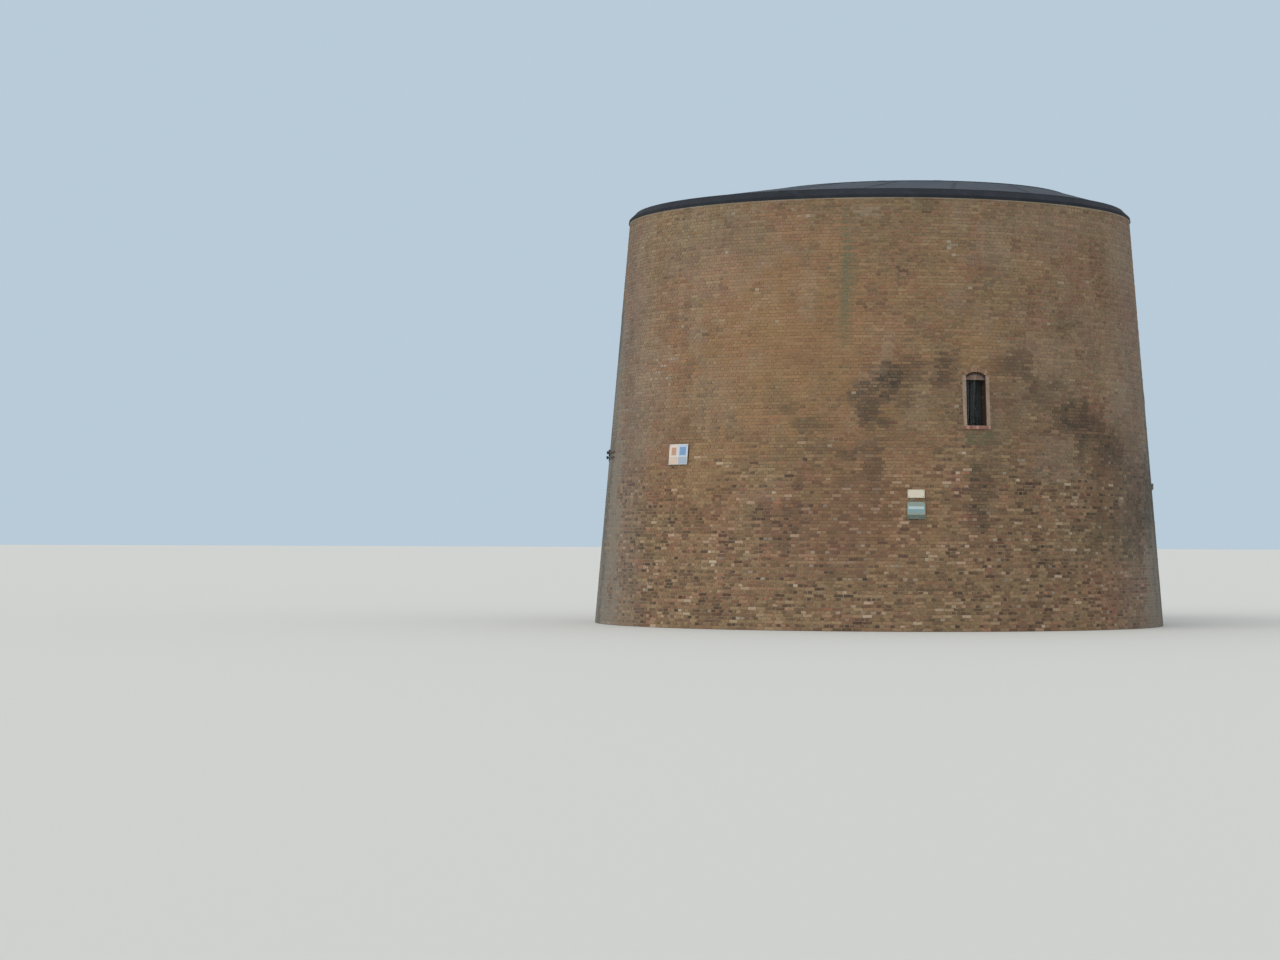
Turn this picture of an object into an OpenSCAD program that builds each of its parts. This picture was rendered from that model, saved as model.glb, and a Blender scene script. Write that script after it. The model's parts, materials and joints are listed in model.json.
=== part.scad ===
// Martello tower: a round, battered brick gun tower with an off-centre room,
// a central pier that carries a ring vault, and a later domed roof.
// The base is centred on the origin and stands on Z = 0. -X is the thick
// seaward side, +X the thin landward side with the raised doorway.

/* [Tower] */
// Diameter of the outer wall at the ground
base_d = 13850; // [13000:50:14800]
// Diameter of the outer wall at its head, under the roof
top_d = 12200; // [11900:50:12900]
// Height of the outer wall
wall_h = 9800; // [9600:50:10400]

/* [Rooms] */
// Thickness of the wall's head on the landward side
landward_t = 960; // [800:20:1200]
// Thickness of the wall's head on the seaward side
seaward_t = 3120; // [2800:20:3400]
// Width of the ledge that carries the first floor
floor_ledge_w = 200; // [140:10:300]
// Thickness of the brick paving in the store
paving_t = 300; // [150:10:400]
// Height of the ledge above the ground
ledge_z = 3200; // [3000:20:3240]
// Gap between round pieces that fit into each other, and at the joints of a parted ring
fit_gap = 2; // [1:1:5]

/* [First floor] */
// Number of joists, which run like spokes from the pier to the wall
joist_count = 28; // [20:1:30]
// Width of a joist
joist_w = 100; // [60:5:110]
// Depth of a joist
joist_h = 200; // [150:5:240]
// Thickness of the floor boards
board_t = 40; // [25:1:60]
// Width of the hatch in the floor, between two joists
hatch_w = 560; // [450:10:580]
// Length of the hatch along the joists
hatch_l = 650; // [500:10:700]
// Distance from the hatch to the room's wall
hatch_edge = 120; // [80:10:160]

/* [Pier and vault] */
// Diameter of the pier in the store
pier_base_d = 1600; // [1500:10:1700]
// Diameter of the pier in the first-floor room
pier_d = 1250; // [1100:10:1350]
// Height at which the vault springs from the pier and the wall
spring_z = 5900; // [5850:10:6000]
// Rise of the vault above its springing
vault_rise = 1100; // [900:10:1200]
// Width of the ledge on which the vault's outer edge bears
vault_ledge_w = 150; // [100:10:180]
// Height of the vault's top, where the parapet starts
vault_top_z = 7920; // [7600:20:8100]
// Number of segments in each quarter of the vault
vault_parts = 3; // [2:1:5]

/* [Gun platform] */
// Thickness of the platform's paving
platform_t = 80; // [50:5:120]
// Height of the firing step inside the parapet
step_h = 450; // [300:10:500]
// Width of the firing step
step_w = 560; // [400:10:650]

/* [Windows] */
// Angle between the doorway and each window
window_angle = 70; // [68:1:72]
// Width of a window in the outer face
window_w = 480; // [450:10:560]
// Height of a window from its sill to the crown of its arch
window_h = 1220; // [1150:10:1250]
// Height of the window sills above the ground
window_sill_z = 4620; // [4550:5:4640]
// Rise of a window's arch
window_rise = 80; // [50:5:100]
// Depth of the straight reveal behind the outer face
window_reveal = 450; // [350:10:550]
// Width of a window's splayed recess at the room
window_inner_w = 1150; // [900:10:1250]
// Rise of the arch over the splayed recess
window_inner_rise = 120; // [80:5:130]
// Thickness of a window sill
sill_t = 75; // [60:5:100]
// Length of a sill beyond each side of the opening
sill_end = 75; // [40:5:100]
// Distance that a sill stands out from the wall
sill_out = 30; // [10:5:60]
// Depth of a sill into the wall
sill_depth = 300; // [200:10:340]
// Width of the dressed strip beside a window
jamb_w = 85; // [60:5:100]
// Depth of the dressed strip into the wall, at the sill
jamb_depth = 215; // [180:5:260]
// Distance that the dressed strip stands out from the wall
jamb_out = 8; // [4:1:20]
// Height of the flat-topped light under the brick head
head_low = 1040; // [980:10:1080]
// Distance of the brick head's face behind the wall's face
head_recess = 35; // [20:5:80]
// Thickness of the brick head
head_t = 105; // [100:5:150]
// Width of the window frame's timber
frame_w = 45; // [30:5:60]
// Thickness of the window frame
frame_t = 70; // [50:5:90]

/* [Doorway] */
// Width of the doorway
door_w = 950; // [800:10:1050]
// Height of the doorway from its threshold to the crown of its arch
door_h = 2050; // [1900:10:2150]
// Rise of the doorway's arch
door_rise = 140; // [100:5:200]
// Depth of the outer reveal, in front of the door
door_reveal = 400; // [300:10:450]
// Width of the recess behind the door
door_inner_w = 1250; // [1150:10:1400]
// Rise of the arch over the recess behind the door
door_inner_rise = 200; // [180:5:240]
// Width of the door frame's timber
door_frame_w = 70; // [50:5:90]
// Thickness of the door frame
door_frame_t = 110; // [90:5:140]
// Thickness of the door
door_t = 60; // [40:5:80]
// Thickness of the threshold stone
threshold_t = 150; // [100:10:200]
// Distance that the threshold stone stands out from the wall
threshold_out = 40; // [10:5:80]

/* [Roof] */
// Height of the fascia's upright face
fascia_h = 60; // [40:5:100]
// Thickness of the fascia
fascia_t = 30; // [20:1:40]
// Height of the deck's rim above the wall's head
rim_h = 200; // [160:5:240]
// Distance that the fascia's slope leans in to the rim
rim_lean = 140; // [100:5:200]
// Width of the fascia's top edge round the rim
rim_t = 20; // [10:1:30]
// Height of the deck's upper edge above its rim
deck_rise = 420; // [300:10:500]
// Distance of the dome's edge inside the gun platform's wall
dome_inset = 200; // [150:10:300]
// Distance of the dome's middle from the rooms' middle, toward the sea
dome_offset = 350; // [250:10:450]
// Width of the deck's flat edge round the dome
dome_lip = 30; // [20:5:60]
// Distance that the dome's edge stands above the deck
dome_proud = 15; // [5:5:40]
// Radius of the sphere that the dome is part of
dome_sphere_r = 28000; // [24000:500:34000]
// Thickness of the dome
dome_t = 80; // [60:5:100]
// Number of boarded panels in the dome
dome_parts = 16; // [8:1:24]
// Thickness of the kerb under the dome's edge
kerb_t = 120; // [100:10:160]
// Height of the kerb
kerb_h = 150; // [120:10:200]
// Number of timbers in the kerb
kerb_parts = 24; // [12:1:36]

/* [Hidden] */
$fn = 360;
// The rooms are round, and off the tower's axis toward the land
room_r = (top_d - seaward_t - landward_t) / 2;
room_shift = (seaward_t - landward_t) / 2;
store_r = room_r - floor_ledge_w;
dome_r = room_r - dome_inset;
dome_shift = room_shift - dome_offset;
batter = (base_d - top_d) / 2 / wall_h;
floor_z = ledge_z + joist_h + board_t;
platform_r = room_r - step_w;
// Lengths that cuts run past a face, past a splayed recess and into each other
over = 50;
recess_over = 400;
nip = 1;
eighth = 45;
hull_facets = 180;
// Angles of the upper wall's joints, on either side of the landward axis
doorway_edge = 24;
window_start = window_angle - 24;
window_end = window_angle + 24;
seaward_joint = (window_end + 180) / 2;
rim_r = top_d / 2 - rim_lean;
rim_z = wall_h + rim_h;
deck_top_z = rim_z + deck_rise;
dome_edge_z = deck_top_z + dome_proud - dome_t;
kerb_z = dome_edge_z - kerb_h;
brick = "peru";
brick_light = "burlywood";
timber = "saddlebrown";
felt = [0.16, 0.16, 0.18];
membrane = "slategray";

// Radius of the outer face at height z
function outer_r(z) = base_d / 2 - batter * z;

// Distance from the axis to a room's face, along a line at an angle
function room_face(angle, r) =
  room_shift * cos(angle) + sqrt(pow(r, 2) - pow(room_shift * sin(angle), 2));

// Radius of an arch with this width and rise
function arch_r(w, rise) = (pow(w / 2, 2) + pow(rise, 2)) / (2 * rise);

// Part of the solid tower between two heights and two angles
module tower_wedge(z0, z1, from, to) {
  rotate([0, 0, from])
    rotate_extrude(angle = to - from)
      polygon([[0, z0], [outer_r(z0), z0], [outer_r(z1), z1], [0, z1]]);
}

// Room's round space, off the tower's axis toward the land
module room_space(r, z0, z1) {
  translate([room_shift, 0, z0])
    cylinder(r = r, h = z1 - z0);
}

// Thin upright gaps that part a ring about the Z axis into segments
module radial_joints(first, step, count, r, z0, z1) {
  for (i = [0:count - 1])
    rotate([0, 0, first + i * step])
      translate([0, -fit_gap / 2, z0])
        cube([r, fit_gap, z1 - z0]);
}

// Upright opening with a segmental arch, seen from the front
module arch_outline(w, low, crown, rise) {
  spring = crown - rise;
  translate([-w / 2, low])
    square([w, spring - low]);
  intersection() {
    translate([-w / 2, spring - nip])
      square([w, rise + 2 * nip]);
    translate([0, crown - arch_r(w, rise)])
      circle(r = arch_r(w, rise), $fn = 180);
  }
}

// Arched bar that runs outward from one distance to another
module arched_bar(w, low, crown, rise, from, to) {
  translate([from, 0, 0])
    rotate([90, 0, 90])
      linear_extrude(to - from)
        arch_outline(w, low, crown, rise);
}

// Splayed recess: a wedge in plan under an arch as wide as its inner end
module splayed_recess(w, inner_w, low, spring, inner_rise, reveal_at, face_at) {
  slope = (inner_w - w) / 2 / (reveal_at - face_at);
  inside = face_at - recess_over;
  inside_half = w / 2 + slope * (reveal_at - inside);
  intersection() {
    translate([0, 0, low])
      linear_extrude(spring + inner_rise + over - low)
        polygon([
          [reveal_at, -w / 2],
          [reveal_at, w / 2],
          [inside, inside_half],
          [inside, -inside_half]
        ]);
    arched_bar(2 * inside_half, low, spring + inner_rise, inner_rise, inside, reveal_at + nip);
  }
}

// Window's place on the wall: the outer face, the frame and the room's face
window_face = outer_r(window_sill_z);
window_frame_at = window_face - window_reveal;
window_room_at = room_face(window_angle, room_r);
window_crown_z = window_sill_z + window_h;

module window_opening() {
  arched_bar(
    window_w, window_sill_z, window_crown_z, window_rise,
    window_frame_at, window_face + over
  );
  splayed_recess(
    window_w, window_inner_w, window_sill_z, window_crown_z - window_rise,
    window_inner_rise, window_frame_at, window_room_at
  );
}

module window_sill() {
  length = window_w + 2 * sill_end;
  translate([window_face - sill_depth, -length / 2, window_sill_z - sill_t])
    cube([sill_depth + sill_out, length, sill_t]);
}

// Upright slot in the wall's face for a dressed strip
module jamb_slot(side) {
  centre = side * (window_w + jamb_w) / 2;
  translate([window_face - jamb_depth, centre - jamb_w / 2, window_sill_z])
    cube([jamb_depth + over, jamb_w, window_h - window_rise]);
}

// Dressed strip, whose face leans back with the wall
module window_jamb(side) {
  spring = window_crown_z - window_rise;
  intersection() {
    jamb_slot(side);
    rotate_extrude()
      polygon([
        [0, window_sill_z],
        [outer_r(window_sill_z) + jamb_out, window_sill_z],
        [outer_r(spring) + jamb_out, spring],
        [0, spring]
      ]);
  }
}

// Doorway's place on the wall, read as the window's is
door_face = outer_r(floor_z);
door_frame_at = door_face - door_reveal;
door_room_at = room_face(0, room_r);
door_crown_z = floor_z + door_h;

module door_opening() {
  arched_bar(
    door_w, floor_z, door_crown_z, door_rise,
    door_frame_at, door_face + over
  );
  splayed_recess(
    door_w, door_inner_w, floor_z, door_crown_z - door_rise,
    door_inner_rise, door_frame_at, door_room_at
  );
}

module threshold_block() {
  translate([door_room_at + over, -door_w / 2, floor_z - threshold_t])
    cube([door_face + threshold_out - door_room_at - over, door_w, threshold_t]);
}

module lower_wall(at) {
  color(brick)
    difference() {
      tower_wedge(0, ledge_z, at - eighth / 2, at + eighth / 2);
      room_space(store_r, -over, ledge_z + over);
    }
}

// Upper wall between two angles, with the ledge under the vault
module upper_wall(from, to) {
  color(brick)
    difference() {
      tower_wedge(ledge_z, vault_top_z, from, to);
      room_space(room_r, ledge_z - over, spring_z + over);
      room_space(room_r + vault_ledge_w, spring_z, vault_top_z + over);
    }
}

module upper_wall_window(side) {
  color(brick)
    difference() {
      upper_wall(
        side * window_angle - (window_end - window_start) / 2,
        side * window_angle + (window_end - window_start) / 2
      );
      rotate([0, 0, side * window_angle]) {
        window_opening();
        window_sill();
        jamb_slot(1);
        jamb_slot(-1);
      }
    }
}

module upper_wall_doorway() {
  color(brick)
    difference() {
      upper_wall(-doorway_edge, doorway_edge);
      door_opening();
      threshold_block();
    }
}

module parapet(at) {
  color(brick)
    difference() {
      tower_wedge(vault_top_z, wall_h, at - eighth / 2, at + eighth / 2);
      room_space(platform_r, vault_top_z - over, wall_h + over);
      room_space(room_r, vault_top_z + platform_t + step_h, wall_h + over);
    }
}

module central_pier() {
  color(brick)
    translate([room_shift, 0, 0])
      rotate_extrude()
        polygon([
          [0, 0],
          [pier_base_d / 2, 0],
          [pier_base_d / 2, ledge_z],
          [pier_d / 2, ledge_z],
          [pier_d / 2, spring_z],
          [0, spring_z]
        ]);
}

// Profile of the ring vault: a segmental arch with solid haunches, parted at its crown
module vault_profile(edge) {
  span = room_r - pier_d / 2;
  vault_r = arch_r(span, vault_rise);
  difference() {
    translate([0, spring_z])
      square([edge, vault_top_z - spring_z]);
    translate([pier_d / 2 + span / 2, spring_z - over])
      square([fit_gap, vault_top_z - spring_z + 2 * over]);
    intersection() {
      translate([pier_d / 2, spring_z - over])
        square([span, vault_rise + 2 * over]);
      translate([pier_d / 2 + span / 2, spring_z + vault_rise - vault_r])
        circle(r = vault_r, $fn = 180);
    }
  }
}

// Quarter of the ring vault, a tunnel bent round the pier
module vault(at) {
  edge = room_r + vault_ledge_w - fit_gap;
  step = 90 / vault_parts;
  color(brick)
    translate([room_shift, 0, 0])
      rotate([0, 0, at - 45])
        difference() {
          rotate_extrude(angle = 90)
            vault_profile(edge);
          radial_joints(
            step, step, vault_parts - 1,
            edge + over, spring_z - over, vault_top_z + over
          );
        }
}

module store_paving() {
  color("dimgray")
    translate([room_shift, 0, 0])
      difference() {
        cylinder(r = store_r - fit_gap, h = paving_t);
        translate([0, 0, -over])
          cylinder(d = pier_base_d + 2 * fit_gap, h = paving_t + 2 * over);
      }
}

module floor_joists() {
  inner = pier_d / 2 + fit_gap;
  outer = room_r - fit_gap - joist_w / 4;
  color(timber)
    translate([room_shift, 0, ledge_z])
      for (i = [0:joist_count - 1])
        rotate([0, 0, (i + 0.5) * 360 / joist_count])
          translate([inner, -joist_w / 2, 0])
            cube([outer - inner, joist_w, joist_h]);
}

// Boards round the pier, with a hatch over the gap between two joists
module floor_boards() {
  hatch_at = floor(joist_count / 4) * 360 / joist_count;
  color(timber)
    translate([room_shift, 0, ledge_z + joist_h])
      difference() {
        cylinder(r = room_r - fit_gap, h = board_t);
        translate([0, 0, -over])
          cylinder(d = pier_d + 2 * fit_gap, h = board_t + 2 * over);
        rotate([0, 0, hatch_at])
          translate([room_r - hatch_edge - hatch_l, -hatch_w / 2, -over])
            cube([hatch_l, hatch_w, board_t + 2 * over]);
      }
}

module gun_platform() {
  color("gray")
    translate([room_shift, 0, vault_top_z])
      cylinder(r = platform_r - fit_gap, h = platform_t);
}

module at_windows() {
  for (side = [-1, 1])
    rotate([0, 0, side * window_angle])
      children();
}

module window_sills() {
  color("rosybrown")
    at_windows()
      window_sill();
}

module window_jambs() {
  color(brick_light)
    at_windows() {
      window_jamb(1);
      window_jamb(-1);
    }
}

// Brick head that fills a window's arch down to its flat-topped light
module window_heads() {
  face = outer_r(window_crown_z) - head_recess;
  color("rosybrown")
    at_windows()
      arched_bar(
        window_w, window_sill_z + head_low, window_crown_z, window_rise,
        face - head_t, face
      );
}

// Timber frame in the reveal, with one upright in the middle
module window_frames() {
  color("gray")
    at_windows()
      difference() {
        arched_bar(
          window_w, window_sill_z, window_crown_z, window_rise,
          window_frame_at, window_frame_at + frame_t
        );
        for (side = [-1, 1])
          translate([0, side * (window_w - frame_w) / 4, 0])
            arched_bar(
              (window_w - 3 * frame_w) / 2, window_sill_z + frame_w,
              window_crown_z - window_rise - frame_w / 2, window_rise / 2,
              window_frame_at - over, window_frame_at + frame_t + over
            );
      }
}

// Door's outline inside its frame, at a distance from the opening's edge
module door_outline(from, to, edge) {
  arched_bar(
    door_w - 2 * edge, floor_z, door_crown_z - edge, door_rise,
    from, to
  );
}

module door() {
  color("darkslategray")
    door_outline(door_frame_at, door_frame_at + door_t, door_frame_w);
}

module door_frame() {
  color(timber)
    difference() {
      door_outline(door_frame_at, door_frame_at + door_frame_t, 0);
      door_outline(door_frame_at - over, door_frame_at + door_frame_t + over, door_frame_w);
    }
}

module threshold() {
  color("silver")
    threshold_block();
}

// Deck from its rim up to the off-centre dome, with a rebate for the kerb
module roof_deck() {
  color(membrane)
    difference() {
      hull() {
        translate([0, 0, wall_h])
          cylinder(d = top_d, h = nip, $fn = hull_facets);
        translate([0, 0, wall_h])
          cylinder(r = rim_r, h = rim_h, $fn = hull_facets);
        translate([dome_shift, 0, wall_h])
          cylinder(r = dome_r + dome_lip, h = rim_h + deck_rise, $fn = hull_facets);
      }
      translate([dome_shift, 0, wall_h - over])
        cylinder(r = dome_r - kerb_t, h = rim_h + deck_rise + 2 * over);
      translate([dome_shift, 0, kerb_z])
        cylinder(r = dome_r + fit_gap, h = deck_top_z - kerb_z + over);
    }
}

// Dark edge of the roof: an upright face that turns in and slopes up to the rim
module roof_fascia() {
  wall_r = top_d / 2;
  color(felt)
    rotate_extrude()
      polygon([
        [wall_r + nip, wall_h],
        [wall_r + fascia_t, wall_h],
        [wall_r + fascia_t, wall_h + fascia_h],
        [rim_r + rim_t, rim_z],
        [rim_r + nip, rim_z]
      ]);
}

// Ring of timbers that carries the dome
module roof_kerb() {
  step = 360 / kerb_parts;
  color(timber)
    translate([dome_shift, 0, kerb_z])
      difference() {
        cylinder(r = dome_r, h = kerb_h);
        translate([0, 0, -over])
          cylinder(r = dome_r - kerb_t, h = kerb_h + 2 * over);
        radial_joints(0, step, kerb_parts, dome_r + over, -over, kerb_h + over);
      }
}

// Profile of the dome: the cap of a large hollow sphere, with a flat seat
module dome_profile(apex) {
  difference() {
    intersection() {
      square([dome_r, apex]);
      translate([0, apex - dome_sphere_r])
        circle(r = dome_sphere_r);
    }
    intersection() {
      square([dome_r - kerb_t, apex]);
      translate([0, apex - dome_sphere_r])
        circle(r = dome_sphere_r - dome_t);
    }
  }
}

// Shallow dome of boarded panels on the kerb
module roof_dome() {
  rise = dome_sphere_r - sqrt(pow(dome_sphere_r, 2) - pow(dome_r, 2));
  apex = dome_t + rise;
  step = 360 / dome_parts;
  color(membrane)
    translate([dome_shift, 0, dome_edge_z])
      difference() {
        rotate_extrude()
          dome_profile(apex);
        radial_joints(0, step, dome_parts, dome_r + over, -over, apex + over);
      }
}

lower_wall(0);  // lower_wall_landward
lower_wall(-45);  // lower_wall_landward_front
lower_wall(-90);  // lower_wall_front
lower_wall(-135);  // lower_wall_seaward_front
lower_wall(180);  // lower_wall_seaward
lower_wall(135);  // lower_wall_seaward_back
lower_wall(90);  // lower_wall_back
lower_wall(45);  // lower_wall_landward_back
upper_wall_doorway();
upper_wall(-window_start, -doorway_edge);  // upper_wall_landward_front
upper_wall_window(-1);  // upper_wall_front_window
upper_wall(-seaward_joint, -window_end);  // upper_wall_front
upper_wall(-180, -seaward_joint);  // upper_wall_seaward_front
upper_wall(seaward_joint, 180);  // upper_wall_seaward_back
upper_wall(window_end, seaward_joint);  // upper_wall_back
upper_wall_window(1);  // upper_wall_back_window
upper_wall(doorway_edge, window_start);  // upper_wall_landward_back
parapet(0);  // parapet_landward
parapet(-45);  // parapet_landward_front
parapet(-90);  // parapet_front
parapet(-135);  // parapet_seaward_front
parapet(180);  // parapet_seaward
parapet(135);  // parapet_seaward_back
parapet(90);  // parapet_back
parapet(45);  // parapet_landward_back
central_pier();
vault(0);  // vault_landward
vault(-90);  // vault_front
vault(180);  // vault_seaward
vault(90);  // vault_back
store_paving();
floor_joists();
floor_boards();
gun_platform();
window_sills();
window_jambs();
window_heads();
window_frames();
door();
door_frame();
threshold();
roof_deck();
roof_fascia();
roof_kerb();
roof_dome();
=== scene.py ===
"""Martello tower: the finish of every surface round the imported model, and the pieces that are too
fine for it.

The wall's bricks, the arches over its openings, the window bars and glass, the door's boards and
ironwork, the laps of the roof, and the boards and bracket fixed to the wall are made here.
"""
import json
import math
from collections import namedtuple

import bpy
import numpy as np
from mathutils import Matrix, Vector


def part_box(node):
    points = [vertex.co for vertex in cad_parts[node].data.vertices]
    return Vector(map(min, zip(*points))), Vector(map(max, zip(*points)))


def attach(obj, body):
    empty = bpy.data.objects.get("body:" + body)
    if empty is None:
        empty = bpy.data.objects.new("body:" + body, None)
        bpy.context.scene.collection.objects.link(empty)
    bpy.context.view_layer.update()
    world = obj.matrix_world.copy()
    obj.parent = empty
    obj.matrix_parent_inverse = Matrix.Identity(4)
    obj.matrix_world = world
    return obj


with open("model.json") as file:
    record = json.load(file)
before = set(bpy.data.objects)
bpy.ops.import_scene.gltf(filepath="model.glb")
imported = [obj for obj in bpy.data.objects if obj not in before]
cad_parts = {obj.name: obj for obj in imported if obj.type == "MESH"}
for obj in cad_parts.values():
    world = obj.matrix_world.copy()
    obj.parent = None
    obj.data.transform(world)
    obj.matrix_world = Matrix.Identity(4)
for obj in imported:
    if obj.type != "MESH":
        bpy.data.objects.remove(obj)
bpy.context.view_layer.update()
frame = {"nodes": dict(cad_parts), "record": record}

# Tower's sizes, in metres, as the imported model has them
BASE_R = -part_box("lower_wall_front")[0].y
WALL_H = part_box("roof_fascia")[0].z
TOP_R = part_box("roof_deck")[1].x
BATTER = (BASE_R - TOP_R) / WALL_H
# Roof: its fascia is upright at its foot and then slopes back to the rim, and the dome's edge lies
# over the deck
FASCIA_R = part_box("roof_fascia")[1].x
FASCIA_FACE_H = 0.060
RIM_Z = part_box("roof_fascia")[1].z
RIM_R = TOP_R - 0.140
RIM_T = 0.020
DECK_TOP_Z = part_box("roof_deck")[1].z
DOME_X = (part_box("roof_dome")[0].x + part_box("roof_dome")[1].x) / 2
DOME_R = (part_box("roof_dome")[1].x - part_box("roof_dome")[0].x) / 2
DOME_TOP_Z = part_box("roof_dome")[1].z
DOME_LIP = 0.030
DOME_SPHERE_R = 28.0
# First-floor room and the springing of its vault
VAULT_SPRING_Z = 5.9
ROOM_X = (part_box("gun_platform")[0].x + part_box("gun_platform")[1].x) / 2
ROOM_R = (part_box("floor_boards")[1].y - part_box("floor_boards")[0].y) / 2
FLOOR_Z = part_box("floor_boards")[1].z

# Brickwork, in metres: a stretcher's length and a brick's thickness, each with one joint, how far
# the bricks stand out from the wall's face and their blocks go behind it, how much narrower a
# brick's front is on each side, the least width of a cut brick, and the front and back of the skin
# of mortar over the face
STRETCHER = 0.225
BRICK_T = 0.075
JOINT = 0.010
COURSES = round(WALL_H / BRICK_T)
COURSE = WALL_H / COURSES
BRICK_OUT = 0.012
BRICK_IN = 0.010
ARRIS = 0.0035
SCRAP = 0.040
MORTAR_OUT = 0.004
MORTAR_BACK = 0.0015
# Rings of wedge bricks over the openings: their front and back, height and width at the foot
RING_OUT = 0.017
RING_IN = 0.020
RING_H = 0.108
WEDGE_W = 0.072

# Eight pieces of brickwork, named as the model's wall segments, with the angle of each one's middle
SECTORS = {
    "landward": 0, "landward_back": 45, "back": 90, "seaward_back": 135,
    "seaward": 180, "seaward_front": -135, "front": -90, "landward_front": -45,
}
HALF_SECTOR = 22.5
# Lines of the mortar's grid up a piece and across it
MORTAR_ROWS, MORTAR_COLUMNS = 79, 37
# Degrees across a piece's map, and the share of it that shows fronts. The rest holds the hidden
# backs, which need a little room each
MAP_DEGREES = 47.5
FRONT_SHARE = 0.985

# An opening in the wall: the angle of its middle, half its width, the strip beside it, the height
# of its foot, the depth and half width of what it stands on, the springing and crown of its arch,
# and the arch's rings
Opening = namedtuple("Opening", "name angle half strip foot sill_t sill_half spring crown rings")
WINDOW_ANGLE = 70
WINDOW_HALF = 0.240
JAMB_W = 0.085
SILL_T = BRICK_T
SILL_HALF = WINDOW_HALF + BRICK_T
SILL_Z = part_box("window_sills")[1].z
WINDOW_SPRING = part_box("window_jambs")[1].z
WINDOW_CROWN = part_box("window_frames")[1].z
DOOR_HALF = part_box("door_frame")[1].y
DOOR_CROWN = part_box("door_frame")[1].z
DOOR_RISE = 0.140
DOOR_FACE_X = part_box("door")[1].x
DOOR_EDGE = DOOR_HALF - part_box("door")[1].y
THRESHOLD_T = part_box("threshold")[1].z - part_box("threshold")[0].z
WINDOWS = [
    Opening(
        name, angle, WINDOW_HALF, JAMB_W, SILL_Z, SILL_T, SILL_HALF, WINDOW_SPRING, WINDOW_CROWN, 1,
    )
    for name, angle in (("front", -WINDOW_ANGLE), ("back", WINDOW_ANGLE))
]
DOORWAY = Opening(
    "doorway", 0, DOOR_HALF, 0.0, FLOOR_Z, THRESHOLD_T, DOOR_HALF, DOOR_CROWN - DOOR_RISE,
    DOOR_CROWN, 2,
)
OPENINGS = WINDOWS + [DOORWAY]

# Iron bars and glass of the windows, and the frames that hold the glass
BAR_D = 0.022
BAR_BEHIND = 0.270
FRAME_W = 0.045
PANE_T = 0.004
FRAME_BACK_R, FRAME_FACE_R = 6.086, 6.156
PANE_TOP = WINDOW_CROWN - 0.100

# Door's boards, straps with their heights over its foot, and bow-shaped pull. The straps and the
# pull stay short of the door's edge
DOOR_BOARDS = 6
BOARD_T = 0.012
STRAP_HEIGHTS = (0.22, 0.96, 1.66)
STRAP_H = 0.060
STRAP_T = 0.006
STRAP_SHORT = 0.10
PULL_SHORT = 0.13
PULL_Z = 1.02
PULL_HALF_H = 0.11
PULL_OUT = 0.050

# Blank boards: name, angle, lowest and highest points, width, and plates of colour from the back
# one on, each with two opposite corners as shares of the board's width and height
SIGNS = [
    ("seaward", -133.8, 3.765, 4.235, 0.63, [
        (0, 0, 1, 1, "#cdcfcf"),
        (0.03, 0.42, 0.46, 0.97, "#d5c4b6"), (0.13, 0.46, 0.38, 0.84, "#b48d75"),
        (0.50, 0.42, 0.97, 0.97, "#b2c1d2"), (0.56, 0.46, 0.90, 0.86, "#6f94b8"),
        (0.03, 0.03, 0.46, 0.38, "#cdb7a2"), (0.50, 0.03, 0.97, 0.38, "#9faab6"),
    ]),
    ("upper", -82.6, 2.98, 3.17, 0.385, [
        (0, 0, 1, 1, "#bfb6a0"), (0.03, 0.07, 0.97, 0.93, "#d3cab5"),
    ]),
    ("lower", -82.6, 2.51, 2.90, 0.42, [
        (0, 0, 1, 1, "#566359"), (0.03, 0.24, 0.98, 0.98, "#899488"),
        (0.05, 0.36, 0.95, 0.76, "#7b989a"), (0.08, 0.56, 0.92, 0.72, "#b0c2c2"),
    ]),
]
SIGN_OUT = 0.045
# Bracket's two bars: their heights, the angles that they run between, and their section
BRACKET_HEIGHTS = (4.15, 4.03)
BRACKET_FROM, BRACKET_TO = -163.5, -173.0
BAR_SECTION = np.array([(-0.006, -0.017), (0.006, -0.017), (0.006, 0.017), (-0.006, 0.017)])

# How many laps and covers the roof's sheets have, half the width of those on the dome, and how
# thick they are
DOME_LAPS = 16
DECK_LAPS = 18
FASCIA_COVERS = 15
DOME_LAP_HALF = 0.035
LAP_T = 0.006

# Level directions to landward and away from the photograph's side, and the upright one
LANDWARD, BACKWARD, UP = np.eye(3)
# Corners of a square, or of any plate as shares of its sides
SQUARE = np.array([(0, 0), (1, 0), (1, 1), (0, 1)])


def wall_r(z):
    """Radius of the outer face at height z: the base radius less the batter times the height."""
    return BASE_R - BATTER * z


def around(angle, radius, z):
    """Points at an angle round the tower's axis, a radius and a height."""
    return np.stack(np.broadcast_arrays(radius * np.cos(angle), radius * np.sin(angle), z), axis=-1)


def on_wall(angle, across, z, out):
    """Points on the wall's face near an angle in degrees: across runs level along the tangent
    there, and out is the distance in front of the face, whose depth on that line is the root of
    radius squared less across squared."""
    depth = np.sqrt((wall_r(z) + out) ** 2 - np.square(across))
    turn = math.radians(angle)
    x = depth * math.cos(turn) - across * math.sin(turn)
    y = depth * math.sin(turn) + across * math.cos(turn)
    return np.stack(np.broadcast_arrays(x, y, z), axis=-1)


def smooth(x):
    """Rises from 0 to 1 as x does, level at both ends."""
    x = np.clip(x, 0, 1)
    return x * x * (3 - 2 * x)


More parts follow.
